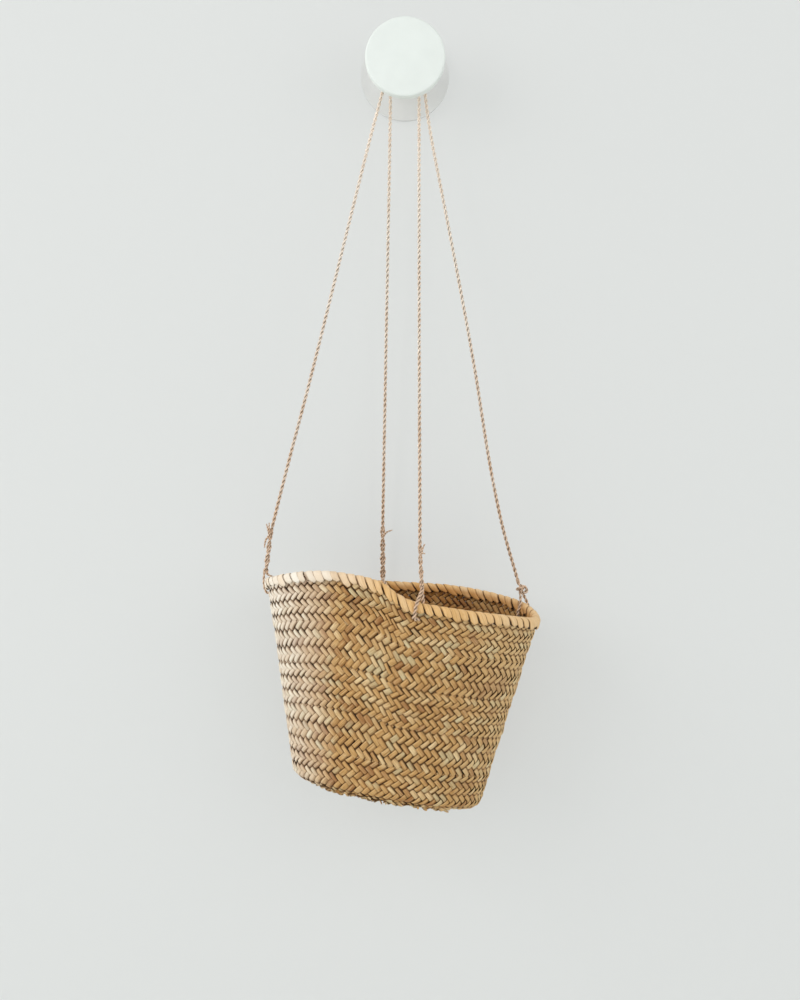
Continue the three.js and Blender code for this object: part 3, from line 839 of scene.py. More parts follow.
def keep_tones(tree, geometry, grain, **tones):
    """Stores what the leaf's material reads: a map along the leaf, and its tones.

    The tones are leaf_tone, patch_tone and zone_tone, which vary the colour, rise, which is low where the
    leaf dips and below 0 on faces that lie under another leaf and sets the painted shade there, inside, which
    is
    1 on the basket's inner side and sets the painted shade there, and edging, which is how dark the painted
    shade along its low edge is.
    """
    for name, value in tones.items():
        geometry = tree.store(geometry, name, value)
    return tree.store(geometry, "UVMap", grain, "FLOAT2", "CORNER")


def plait_tree():
    """Leaves that lean both ways and pass over and under each other, laid on a sheet in rows of floats."""
    tree = GeometryTree("Plait", {
        "Leaves": "Int", "Rows": "Int", "First Row": "Int", "Fill": "Float", "Thickness": "Float",
        "Lift": "Float", "Seed": "Int", "Material": "Material",
    })
    rows = tree.given("Rows")
    template = strip_template(tree, rows * STEPS_PER_ROW + STEPS_PER_ROW)
    leaves = strips(tree, tree.given("Leaves") * 2.0, template)
    number = tree.attribute("number", "INT")
    pair = tree.math("FLOOR", number * 0.5 + 0.25)
    side = number - pair * 2.0
    slope = side * 2.0 - 1.0
    row = tree.attribute("along") * (rows + 2.0 * ROW_OVERRUN) - ROW_OVERRUN
    wall_row = row + tree.given("First Row")
    wander = tree.noise(tree.combine(row * WANDER_PACE, number * WANDER_APART), 1.0) - 0.5
    column = pair + side * 0.5 + slope * row + wander * WANDER
    wave = tree.math("COSINE", (wall_row - 0.5) * math.pi) * slope * -1.0
    past = tree.math("MAXIMUM", row * -1.0, row - rows)
    tucked = tree.math("MAXIMUM", 1.2 - tree.math("MAXIMUM", past, 0.0) * TUCK, -1.0)
    rise = tree.math("MINIMUM", wave * (1.5 - wave * wave * 0.5), tucked)
    across = tree.attribute("across")
    patch = tree.math("FLOOR", row + FIRST_PATCH) + number * PATCH_ROWS
    half = tree.given("Fill") * tree.random(*LEAF_HALF_WIDTHS, number, 2)
    lean = across * tree.random(*LEAF_LEANS, patch, 3)
    up = tree.attribute("up")
    height = tree.given("Lift") * (rise * tree.random(*LIFT_SPREAD, patch, 4) + lean)
    height = height + up * tree.given("Thickness") * 0.5
    outer_face = tree.math("SIGN", up + 0.3)
    u = (column + across * half) / tree.given("Leaves")
    v = (row - slope * across * half) / rows
    pace_along, pace_down = ZONE_PACE
    place_in_zones = tree.combine(column * pace_along, wall_row * pace_down, tree.given("Seed") * ZONE_APART)
    zone = tree.noise(place_in_zones, 1.0)
    # rise, inside and edging set the painted shade where a leaf dips, lies under another, lies inside the
    # basket and meets its neighbour
    leaves = keep_tones(
        tree, leaves, tree.combine(row + number * GRAIN_SHIFT, across),
        leaf_tone=tree.random(0.0, 1.0, number, 5), patch_tone=tree.random(0.0, 1.0, patch, 6),
        zone_tone=zone, rise=rise * outer_face, inside=tree.between(rise, *INNER_RISE),
        edging=tree.random(*PLAIT_EDGE_SHADINGS, patch, 7),
    )
    leaves = lay_on_sheet(tree, leaves, u, v, height)
    return tree.finish(leaves, STRIP_WORKINGS)


def wrap_tree():
    """Leaf wound over the rim in slanting, overlapping turns with rounded ends."""
    tree = GeometryTree("Wraps", {
        "Wraps": "Int", "Slant": "Float", "Bulge": "Float", "Thickness": "Float", "Lumps At": "Float",
        "Seed": "Int", "Material": "Material",
    })
    template = strip_template(tree, WRAP_STEPS)
    wraps = strips(tree, tree.given("Wraps"), template)
    number = tree.attribute("number", "INT")
    along = tree.attribute("along")
    across = tree.attribute("across")
    start = tree.random(*WRAP_STARTS, number, 1)
    end = tree.random(*WRAP_ENDS, number, 2)
    level = start + along * (end - start)
    over = level - 0.5
    down = tree.math("ABSOLUTE", over) * 2.0
    from_end = tree.math("MINIMUM", along, 1.0 - along)
    tip = tree.math("POWER", tree.between(from_end, 0.0, WRAP_TIP), 0.5)
    half = tip * tree.random(*WRAP_HALF_WIDTHS, number, 3)
    inner_slant = tree.between(over, -0.5, 0.0, INNER_SLANT, 1.0)
    slant = (tree.given("Slant") + tree.random(*WRAP_SLANT_SPREAD, number, 4)) * inner_slant
    column = number + slant * over + tree.random(*WRAP_SHIFTS, number, 5)
    crown = 1.0 - across * across
    from_lumps = tree.math("ABSOLUTE", number / tree.given("Wraps") - tree.given("Lumps At"))
    lumps = tree.between(from_lumps, LUMP_SPREAD, 0.0) * tree.random(0.0, LUMP_HEIGHT, number, 9)
    bulge = tree.given("Bulge") * tree.random(*WRAP_BULGES, number, 8) + lumps
    height = bulge * (crown * (down * 0.7 + 0.2) + across * 0.5)
    height = height + tree.attribute("up") * tree.given("Thickness") * 0.5
    tuck = tree.between(1.0 - along, WRAP_TUCK_LENGTH, 0.0)
    height = height - tuck * tuck * WRAP_TUCK
    u = (column + across * half) / tree.given("Wraps")
    # edging is painted shade between the wraps, mostly on the lower outer part; inside sets painted shade
    # inside the basket
    wraps = keep_tones(
        tree, wraps, tree.combine(along * 3.0 + number * GRAIN_SHIFT, across),
        leaf_tone=tree.random(0.0, 1.0, number, 6), patch_tone=tree.random(0.0, 1.0, number, 7),
        zone_tone=tree.noise(tree.combine(number * WRAP_ZONE_PACE, 0.0), 1.0),
        rise=1.0, inside=tree.between(over, -0.08, -0.25), edging=tree.between(down, 0.1, 0.45, 0.4, 1.0),
    )
    wraps = lay_on_sheet(tree, wraps, u, level, height)
    return tree.finish(wraps, STRIP_WORKINGS)


def cord_tree():
    """Plies twisted together along a route, thinner towards its end, with loose fibres."""
    tree = GeometryTree("Twisted cord", {
        "Diameter": "Float", "Lay": "Float", "Start": "Float", "Plies": "Int", "Ply Share": "Float",
        "End Share": "Float", "Fibres": "Float", "Seed": "Int", "Material": "Material",
    })
    route = tree.get("GeometryNodeMeshToCurve", {"Mesh": tree.given("Geometry")})
    feeds = {"Curve": route, "Length": tree.given("Lay") / STEPS_PER_LAY}
    route = tree.get("GeometryNodeResampleCurve", feeds, mode="LENGTH")
    feeds = {"Curve": route, "Normal": tree.attribute("side", "FLOAT_VECTOR")}
    route = tree.get("GeometryNodeSetCurveNormal", feeds, mode="FREE")
    run = tree.get("GeometryNodeSplineParameter", output=1) + tree.given("Start")
    turn = run * (2 * math.pi) / tree.given("Lay")
    route = tree.get("GeometryNodeSetCurveTilt", {"Curve": route, "Tilt": turn})
    share = tree.get("GeometryNodeSplineParameter")
    width = tree.between(share, THINNING_START, 1.0, 1.0, tree.given("End Share"))
    route = tree.get("GeometryNodeSetCurveRadius", {"Curve": route, "Radius": width})
    ply_radius = tree.given("Diameter") * tree.given("Ply Share") * 0.5
    ply_offset = tree.given("Diameter") * 0.5 - ply_radius
    ply_turn = tree.get("GeometryNodeInputIndex") * (2 * math.pi) / tree.given("Plies")
    at = tree.combine(
        ply_offset * tree.math("COSINE", ply_turn), ply_offset * tree.math("SINE", ply_turn),
    )
    points = tree.get("GeometryNodePoints", {"Count": tree.given("Plies"), "Position": at})
    ring = tree.get("GeometryNodeCurvePrimitiveCircle", {"Resolution": PLY_SIDES, "Radius": ply_radius})
    plies = tree.get("GeometryNodeInstanceOnPoints", {"Points": points, "Instance": ring})
    plies = tree.realize(plies)
    from_axis = tree.vector_math("LENGTH", tree.get("GeometryNodeInputPosition"), output=1)
    # rise, the distance from the cord's axis, sets the painted shade between the plies
    plies = tree.store(plies, "rise", from_axis / (tree.given("Diameter") * 0.5))
    feeds = {
        "Curve": route, "Profile Curve": plies, "Scale": tree.get("GeometryNodeInputRadius"),
        "Fill Caps": True,
    }
    cord = tree.get("GeometryNodeCurveToMesh", feeds)
    return tree.finish(with_fibres(tree, cord), ("side",))


def with_fibres(tree, cord):
    """Adds fine fibres that stand off the cord, mostly leaning along it."""
    feeds = {"Mesh": cord, "Density": tree.given("Fibres"), "Seed": tree.given("Seed")}
    spread = tree.add("GeometryNodeDistributePointsOnFaces", feeds)
    number = tree.get("GeometryNodeInputIndex")
    lean = tree.combine(tree.random(*FIBRE_LEANS, number, 1), tree.random(*FIBRE_LEANS, number, 2))
    turn = tree.get("FunctionNodeEulerToRotation", {0: lean})
    feeds = {"Rotation": Field(tree, spread.outputs["Rotation"]), "Rotate By": turn}
    turned_by = tree.get("FunctionNodeRotateRotation", feeds, rotation_space="LOCAL")
    feeds = {"Vertices": 3, "Radius Top": 0.0, "Radius Bottom": FIBRE_RADIUS, "Depth": FIBRE_LENGTH}
    fibre = tree.get("GeometryNodeMeshCone", feeds)
    feeds = {
        "Points": Field(tree, spread.outputs["Points"]), "Instance": fibre, "Rotation": turned_by,
        "Scale": tree.combine(1.0, 1.0, tree.random(*FIBRE_LENGTH_SPREAD, number, 3)),
    }
    fibres = tree.realize(tree.get("GeometryNodeInstanceOnPoints", feeds))
    fibres = tree.store(fibres, "rise", 1.0)
    both = tree.nodes.new("GeometryNodeJoinGeometry")
    tree.links.new(fibres.socket, both.inputs[0])
    tree.links.new(cord.socket, both.inputs[0])
    return Field(tree, both.outputs[0])


def loose_end_tree():
    """Short cut ends of leaf that stand off a sheet, over a stretch of its way round."""
    tree = GeometryTree("Loose ends", {
        "Ends": "Int", "From": "Float", "To": "Float", "Round": "Float", "Across": "Float", "Length": "Float",
        "Width": "Float", "Lift": "Float", "Thickness": "Float", "Seed": "Int", "Material": "Material",
    })
    ends = strips(tree, tree.given("Ends"), strip_template(tree, LOOSE_STEPS))
    number = tree.attribute("number", "INT")
    along = tree.attribute("along")
    across = tree.attribute("across")
    backwards = tree.math("ROUND", tree.random(0.0, 1.0, number, 2))
    turn = tree.random(*LOOSE_TURNS, number, 1) + backwards * math.pi
    forward = along * tree.given("Length") * tree.random(*LOOSE_LENGTH_SPREAD, number, 3)
    sideways = across * tree.given("Width") * tree.random(*LOOSE_HALF_WIDTHS, number, 4)
    ahead, aside = tree.math("COSINE", turn), tree.math("SINE", turn)
    stretch = tree.given("To") - tree.given("From")
    u = tree.given("From") + stretch * tree.random(0.0, 1.0, number, 5)
    u = u + (forward * ahead - sideways * aside) / tree.given("Round")
    v = tree.random(*LOOSE_LEVELS, number, 6)
    v = v + (forward * aside + sideways * ahead) / tree.given("Across")
    height = along * along * tree.given("Lift") * tree.random(*LOOSE_LIFT_SPREAD, number, 7)
    height = height + tree.given("Thickness") + tree.attribute("up") * tree.given("Thickness") * 0.5
    # rise makes painted shade that deepens towards a cut end's root, and edging paints shade along its edge
    ends = keep_tones(
        tree, ends, tree.combine(along * 2.0 + number * GRAIN_SHIFT, across),
        leaf_tone=tree.random(*LOOSE_TONES, number, 8), patch_tone=tree.random(*LOOSE_TONES, number, 9),
        zone_tone=0.6, rise=along * 0.4 + 0.1, inside=0.0, edging=0.8,
    )
    ends = lay_on_sheet(tree, ends, u, v, height)
    return tree.finish(ends, STRIP_WORKINGS)


TREE_MAKERS = {"plait": plait_tree, "wraps": wrap_tree, "cord": cord_tree, "loose ends": loose_end_tree}
made_trees = {}


def tree_for(kind):
    if kind not in made_trees:
        made_trees[kind] = TREE_MAKERS[kind]()
    return made_trees[kind]


# Routes of cord

def smooth_route(points, step=ROUTE_STEP):
    """A smooth curve through given points, in short even steps."""
    points = np.asarray(points, float)
    ends = np.concatenate([[2 * points[0] - points[1]], points, [2 * points[-1] - points[-2]]])
    knots = np.concatenate([[0], np.cumsum(np.sqrt(length_of(np.diff(ends, axis=0))[:, 0]))])
    found = [points[0]]
    for i in range(1, len(ends) - 2):
        count = max(2, math.ceil(np.linalg.norm(ends[i + 1] - ends[i]) / step))
        for at in np.linspace(knots[i], knots[i + 1], count + 1)[1:]:
            found.append(spline_point(ends[i - 1:i + 3], knots[i - 1:i + 3], at))
    return np.array(found)


def spline_point(points, knots, at):
    """A point of the smooth curve through four points, between the middle two."""
    first = [blend_of(points[i:i + 2], knots[i], knots[i + 1], at) for i in range(3)]
    second = [blend_of(first[i:i + 2], knots[i], knots[i + 2], at) for i in range(2)]
    return blend_of(second, knots[1], knots[2], at)


def blend_of(pair, from_knot, to_knot, at):
    return pair[0] + (pair[1] - pair[0]) * (at - from_knot) / (to_knot - from_knot)


def carried_sides(route, side=FIRST_SIDE):
    """A direction beside the route at each point, carried along it without twist."""
    ahead = unit(np.gradient(route, axis=0))
    sides = []
    for direction in ahead:
        side = unit(side - direction * np.dot(side, direction))
        sides.append(side)
    return np.array(sides)


def distances(route):
    """How far along the route each of its points lies."""
    return np.concatenate([[0], np.cumsum(length_of(np.diff(route, axis=0))[:, 0])])


def twisted_cord(name, route, changes=None, sides=None):
    """One piece of cord along a route, with changes to the usual values of the cord's tree."""
    cord = settings().cord
    values = {
        "Diameter": cord.diameter, "Lay": cord.lay, "Start": 0.0, "Plies": PLY_COUNT, "Ply Share": PLY_SHARE,
        "End Share": 1.0, "Fibres": CORD_FIBRES, "Seed": 1, "Material": cord_material(),
    }
    values.update(changes or {})
    if sides is None:
        sides = carried_sides(route)
    mesh = bpy.data.meshes.new(name)
    mesh.from_pydata(route.tolist(), [(i, i + 1) for i in range(len(route) - 1)], [])
    attribute = mesh.attributes.new("side", "FLOAT_VECTOR", "POINT")
    attribute.data.foreach_set("vector", sides.ravel().astype(np.float32))
    return run_tree(name, mesh, tree_for("cord"), values)


# Materials

made_materials = {}


def new_material(name):
    material = bpy.data.materials.new(name)
    material.use_nodes = True
    made_materials[name] = material
    return material, Tree(material.node_tree), material.node_tree.nodes["Principled BSDF"]


def read_attribute(tree, name):
    return tree.get("ShaderNodeAttribute", output=2, attribute_name=name)


def object_place(tree):
    """Object coordinates, which stay with a piece when it moves."""
    return tree.get("ShaderNodeTexCoord", output=3)


def add_bump(tree, shader, height, strength, distance):
    feeds = {"Strength": strength, "Distance": distance, "Height": height}
    tree.feed(shader.inputs["Normal"], tree.get("ShaderNodeBump", feeds))


def opaque(tint):
    return (*tint[:3], 1.0)


def fibre_group():
    """Streaks along a leaf, broad blotches and the place across it, all from the leaf's own map."""
    name = "Leaf fibre"
    if name in bpy.data.node_groups:
        return bpy.data.node_groups[name]
    group = bpy.data.node_groups.new(name, "ShaderNodeTree")
    tree = Tree(group)
    uv = tree.get("ShaderNodeUVMap", uv_map="UVMap")
    fine = tree.get("ShaderNodeMapping", {"Vector": uv, "Scale": (0.5, 3.0, 1.0)})
    broad = tree.get("ShaderNodeMapping", {"Vector": uv, "Scale": (1.6, 1.2, 1.0)})
    _, across, _ = tree.separate(uv)
    outputs = {
        "Streaks": tree.noise(fine, 1.0, 5.0, 0.7),
        "Blotches": tree.noise(broad, 1.0, 3.0),
        "Across": across,
    }
    for output in outputs:
        group.interface.new_socket(output, in_out="OUTPUT", socket_type="NodeSocketFloat")
    end = tree.nodes.new("NodeGroupOutput")
    for output, value in outputs.items():
        tree.feed(end.inputs[output], value)
    return group


def leaf_material(name, tones, green, edge, lit_end_start, lit_end_edge_shading):
    """Dried leaf: each leaf has its own tone, with streaks along it, and painted shade where it dips or ends,
    where it lies under another leaf and along its low edge.

    tones are the leaf's dark, main and pale colours, and edge is where across the leaf the painted shade of
    its low edge starts and is darkest. The basket's left end is painted paler from lit_end_start on, partly
    as painted light and partly as sun-bleaching, and its right end a little paler, as painted light.
    lit_end_edge_shading is how dark the painted edge shade is at the paler left end.
    """
    if name in made_materials:
        return made_materials[name]
    material, tree, shader = new_material(name)
    to_right, _, _ = tree.separate(object_place(tree))
    leaf_tone = read_attribute(tree, "leaf_tone")
    patch_tone = read_attribute(tree, "patch_tone")
    zone = read_attribute(tree, "zone_tone")
    fibre = tree.add("ShaderNodeGroup", node_tree=fibre_group())
    streaks = Field(tree, fibre.outputs["Streaks"])
    blotches = Field(tree, fibre.outputs["Blotches"])
    across = Field(tree, fibre.outputs["Across"])
    dark, main, pale = tones
    mixed = leaf_tone * LEAF_SHARE + patch_tone * PATCH_SHARE + tree.between(zone, 0.3, 0.7) * ZONE_SHARE
    tint = tree.ramp(mixed, list(zip(TONE_STOPS, (dark, main, main, pale))))
    greenness = tree.between(tree.math("FRACT", patch_tone * 7.3), 0.75, 0.8) * tree.between(zone, 0.4, 0.6)
    tint = tree.mix_colour(greenness * GREEN_DEPTH, tint, opaque(green))
    tint = tree.mix_colour(tree.between(streaks, *PALE_STREAKS), tint, opaque(pale))
    tint = tree.mix_colour(tree.between(streaks, *DARK_STREAKS), tint, opaque(dark))
    tint = tree.mix_colour(tree.between(blotches, *DARK_BLOTCHES), tint, opaque(dark))
    # the right end is painted a little paler as painted light, and the left end much paler, partly as painted
    # light and partly as sun-bleaching
    right_painted_light = tree.between(to_right, *RIGHT_PAINTED_LIGHT, 0.0, RIGHT_PAINTED_LIGHT_DEPTH)
    tint = tree.mix_colour(right_painted_light, tint, opaque(pale))
    paleness_and_painted_light = tree.between(to_right, lit_end_start, lit_end_start - LIT_END_LENGTH) * (patch_tone * 0.4 + 0.6)
    tint = tree.mix_colour(paleness_and_painted_light, tint, opaque(LIT_END_LEAF))
    # painted shade on the basket's inner side
    tint = tree.mix_colour(read_attribute(tree, "inside"), tint, opaque(INNER_SHADE), "MULTIPLY")
    # painted shade along each leaf's low edge, stronger at the paler left end
    edging = read_attribute(tree, "edging") * (1.0 - paleness_and_painted_light) + paleness_and_painted_light * lit_end_edge_shading
    edge_shade = 1.0 - tree.between(across, *edge) * edging * EDGE_SHADE_DEPTH
    # painted shade where a leaf dips or lies under another, warmed to brown where it is deep
    shade = tree.between(read_attribute(tree, "rise"), -0.1, 0.35, BURIED_SHADE, 1.0) * edge_shade
    warm_shade = tree.combine(shade, shade * (shade * 0.3 + 0.7), shade * (shade * 0.55 + 0.45))
    tint = tree.mix_colour(1.0, tint, warm_shade, "MULTIPLY")
    tree.feed(shader.inputs["Base Color"], tint)
    shader.inputs["Specular IOR Level"].default_value = 0.25
    tree.feed(shader.inputs["Roughness"], tree.between(streaks, 0.3, 0.7, *LEAF_ROUGHNESS))
    add_bump(tree, shader, streaks, *LEAF_BUMP)
    return material


def plait_material():
    plait = settings().plait
    tones = (plait.brown, plait.straw, plait.pale)
    return leaf_material(
        "Plaited leaf", tones, plait.green, PLAIT_EDGE_SHADE, PLAIT_LIT_END_START, PLAIT_LIT_END_EDGE_SHADING,
    )


def binding_material():
    plait, rim = settings().plait, settings().rim
    tones = (plait.straw, rim.cream, rim.bleached)
    return leaf_material(
        "Binding leaf", tones, rim.bleached, BINDING_EDGE_SHADE, BINDING_LIT_END_START, BINDING_LIT_END_EDGE_SHADING,
    )


def cord_material():
    """Twisted plant fibre, flecked, with painted shade between the plies and painted light towards the peg.
    """
    name = "Cord fibre"
    if name in made_materials:
        return made_materials[name]
    material, tree, shader = new_material(name)
    cord = settings().cord
    at = object_place(tree)
    _, _, height = tree.separate(at)
    fine = tree.noise(at, FLECK_SCALE, 3.0)
    broad = tree.noise(at, CORD_BLOTCH_SCALE)
    # painted light, paler towards the peg, with blotches of paler tone
    paleness_and_painted_light = tree.between(height, *CORD_PAINTED_LIGHT_HEIGHTS) + tree.between(broad, 0.35, 0.7, -0.25, 0.3)
    tint = tree.mix_colour(tree.between(paleness_and_painted_light, 0.0, 1.0), opaque(cord.tan), opaque(cord.bleached))
    flecks = tree.between(fine, 0.3, 0.7, *FLECK_SHADES)
    groove_shade = tree.between(height, *GROOVE_FADE, *GROOVE_SHADES)
    groove = tree.between(read_attribute(tree, "rise"), 0.33, 0.83, groove_shade, 1.0)
    tree.feed(shader.inputs["Base Color"], tree.shaded(tint, flecks * groove))
    shader.inputs["Specular IOR Level"].default_value = 0.2
    shader.inputs["Roughness"].default_value = 0.85
    add_bump(tree, shader, fine, *CORD_BUMP)
    return material


def peg_material():
    """White satin paint with faint turning lines under it, and painted shade on the neck and base behind the
    disc.
    """
    material, tree, shader = new_material("Peg paint")
    at = object_place(tree)
    soft = tree.noise(at, MOTTLE_SCALE, 4.0)
    peg = settings().peg
    _, depth, _ = tree.separate(at)
    # painted shade: behind the disc the paint turns greyer
    disc_back = peg.front_edge - peg.reach
    behind_disc = tree.between(depth, disc_back, disc_back + peg.edge_radius)
    tint = tree.mix_colour(behind_disc, opaque(peg.paint), opaque(peg.body_in_painted_shade))
    mottle = tree.between(soft, 0.3, 0.7, *MOTTLE_SHADES)
    tree.feed(shader.inputs["Base Color"], tree.shaded(tint, mottle))
    tree.feed(shader.inputs["Roughness"], tree.between(soft, 0.3, 0.7, *PEG_ROUGHNESS))
    grain = tree.get("ShaderNodeMapping", {"Vector": at, "Scale": PEG_LINE_STRETCH})
    add_bump(tree, shader, tree.noise(grain, PEG_LINE_SCALE), *PEG_BUMP)
    return material


def steel_material():
    """Turned steel with fine scratches."""
    material, tree, shader = new_material("Insert steel")
    at = object_place(tree)
    scratches = tree.noise(at, SCRATCH_SCALE, 3.0)
    tint = tree.mix_colour(scratches, opaque(STEEL_DARK), opaque(STEEL_PALE))
    tree.feed(shader.inputs["Base Color"], tint)
    shader.inputs["Metallic"].default_value = 1.0
    tree.feed(shader.inputs["Roughness"], tree.between(scratches, 0.3, 0.7, *STEEL_ROUGHNESS))
    return material


def backdrop_material(base, evenness):
    """A plain pale surface that shows only from its front, and to the camera more evenly than it is lit."""
    material, tree, shader = new_material("Pale wall")
    shader.inputs["Base Color"].default_value = opaque(base)
    shader.inputs["Roughness"].default_value = 0.9
    plain = tree.get("ShaderNodeEmission", {"Color": opaque(base)})
    ray = tree.add("ShaderNodeLightPath").outputs
    to_camera = Field(tree, ray["Is Camera Ray"]) * evenness
    seen = tree.get("ShaderNodeMixShader", {0: to_camera, 1: Field(tree, shader.outputs[0]), 2: plain})
    behind = tree.get("ShaderNodeNewGeometry", output=6)
    touching = tree.math("LESS_THAN", Field(tree, ray["Ray Length"]), WALL_TOUCH)
    clear = tree.get("ShaderNodeBsdfTransparent")
    mixed = tree.get("ShaderNodeMixShader", {0: tree.math("MAXIMUM", behind, touching), 1: seen, 2: clear})
    tree.feed(material.node_tree.nodes["Material Output"].inputs["Surface"], mixed)
    return material


# Steps

class HUNG_BASKET_OT_stage(bpy.types.Operator):
    """Sets up the camera, light, wall and floor"""

    bl_idname = "hung_basket.stage"
    bl_label = "Stage"

    def execute(self, context):
        stage = settings().stage
        context.scene.view_settings.view_transform = "Standard"
        self.add_camera(context.scene, stage)
        self.add_light("Window", WINDOW_PLACE, stage.window_power)
        self.add_light("Fill", FILL_PLACE, stage.fill_power)
        world = bpy.data.worlds.new("Sky")
        world.use_nodes = True
        sky = world.node_tree.nodes["Background"]
        sky.inputs["Strength"].default_value = stage.sky
        sky.inputs["Color"].default_value = opaque(SKY_COLOUR)
        context.scene.world = world
        surface = backdrop_material(stage.wall_colour, stage.evenness)
        foot = [(-WALL_SIDE, WALL_GAP, WALL_BOTTOM), (WALL_SIDE, WALL_GAP, WALL_BOTTOM)]
        head = [(WALL_SIDE, WALL_GAP, WALL_TOP), (-WALL_SIDE, WALL_GAP, WALL_TOP)]
        front = [(-WALL_SIDE, FLOOR_FRONT, WALL_BOTTOM), (WALL_SIDE, FLOOR_FRONT, WALL_BOTTOM)]
        wall = self.add_panel("wall", foot + head, surface)
        floor = self.add_panel("floor", front + foot[::-1], surface)
        return {"FINISHED"}

    @staticmethod
    def add_camera(scene, stage):
        lens = bpy.data.cameras.new("Camera")
        lens.lens = stage.lens
        lens.sensor_fit = "VERTICAL"
        lens.sensor_height = SENSOR_HEIGHT
        camera = bpy.data.objects.new("Camera", lens)
        camera.location = stage.camera_place
        camera.rotation_euler = (math.pi / 2, -stage.camera_roll, 0.0)
        scene.collection.objects.link(camera)
        scene.camera = camera

    @staticmethod
    def add_light(name, location, power):
        lamp = bpy.data.lights.new(name, "AREA")
        lamp.size = LAMP_SIZE
        lamp.energy = power
        light = bpy.data.objects.new(name, lamp)
        light.location = location
        aim = Vector(LAMP_TARGET) - light.location
        light.rotation_euler = aim.to_track_quat("-Z", "Y").to_euler()
        bpy.context.collection.objects.link(light)

    @staticmethod
    def add_panel(name, corners, surface):
        mesh = bpy.data.meshes.new(name)
        mesh.from_pydata(corners, [], [(0, 1, 2, 3)])
        mesh.materials.append(surface)
        return add_object(name, mesh)


class Eye:
    """Where a leg of cord meets the rim."""

    def __init__(self, where):
        angle = math.radians(EYE_ANGLES[where])
        self.top = rim_top(angle)
        self.out = leaf_normal(angle, BINDING_HEIGHT / 2)
        self.down = unit(leaf_point(angle, BINDING_HEIGHT) - self.top)
        self.along_rim = np.cross(self.out, self.down)
        self.before_end, self.leg_end = np.array(LEG_ROUTES[where][-2:])
        self.up = unit(self.leg_end - self.top)
        self.side = unit(self.out - self.up * np.dot(self.out, self.up))
        self.meeting = self.on_wall(EYE_OUTS[where], 0.0, EYE_ALONGS[where]) + self.up * EYE_TOPS[where]
        self.middle = (self.meeting + self.leg_end) / 2
        self.strand_diameter = STRAND_DIAMETERS[where]
        self.slants = {1: OUTER_SLANTS[where], -1: INNER_SLANTS[where]}

    def on_wall(self, offset, drop, shift):
        return self.top + self.out * offset + self.down * drop + self.along_rim * shift

    def half_loop(self, sign):
        """The outer or inner half of the loop, from the splice or knot down to the hole."""
        beside = self.meeting + self.side * sign * self.strand_diameter / 2
        offset = sign * (BINDING_HALF + self.strand_diameter * STRAND_OFFSET)
        slanting = math.sqrt(0.5)
        lower = EYE_STRAIGHT + EYE_DROP * slanting
        slant = self.slants[sign]
        return [
            beside + self.up * EYE_END_RISE, beside,
            self.on_wall(offset, BINDING_CHAMFER, slant * CHAMFER_SLANT),
            self.on_wall(offset, EYE_STRAIGHT, slant),
            self.on_wall(offset * slanting, lower, slant),
        ]

    def route(self):
        """Down outside the rim, through the wall and up inside."""
        bottom = self.on_wall(0.0, EYE_STRAIGHT + EYE_DROP, sum(self.slants.values()) / 2)
        return smooth_route([*self.half_loop(1), bottom, *reversed(self.half_loop(-1))], FINE_STEP)

    def strand(self, sign, radius, lay):
        """One of two strands that wind round each other from the eye up to the leg."""
        top = self.leg_end + unit(self.before_end - self.leg_end) * SPLICE_TOP
        axis = smooth_route([self.meeting, self.middle, self.leg_end, top], FINE_STEP)
        sides = carried_sides(axis, self.side)
        across = np.cross(unit(np.gradient(axis, axis=0)), sides)
        turn = (distances(axis) * 2 * math.pi / lay)[:, None]
        return axis + (sides * np.cos(turn) + across * np.sin(turn)) * sign * radius


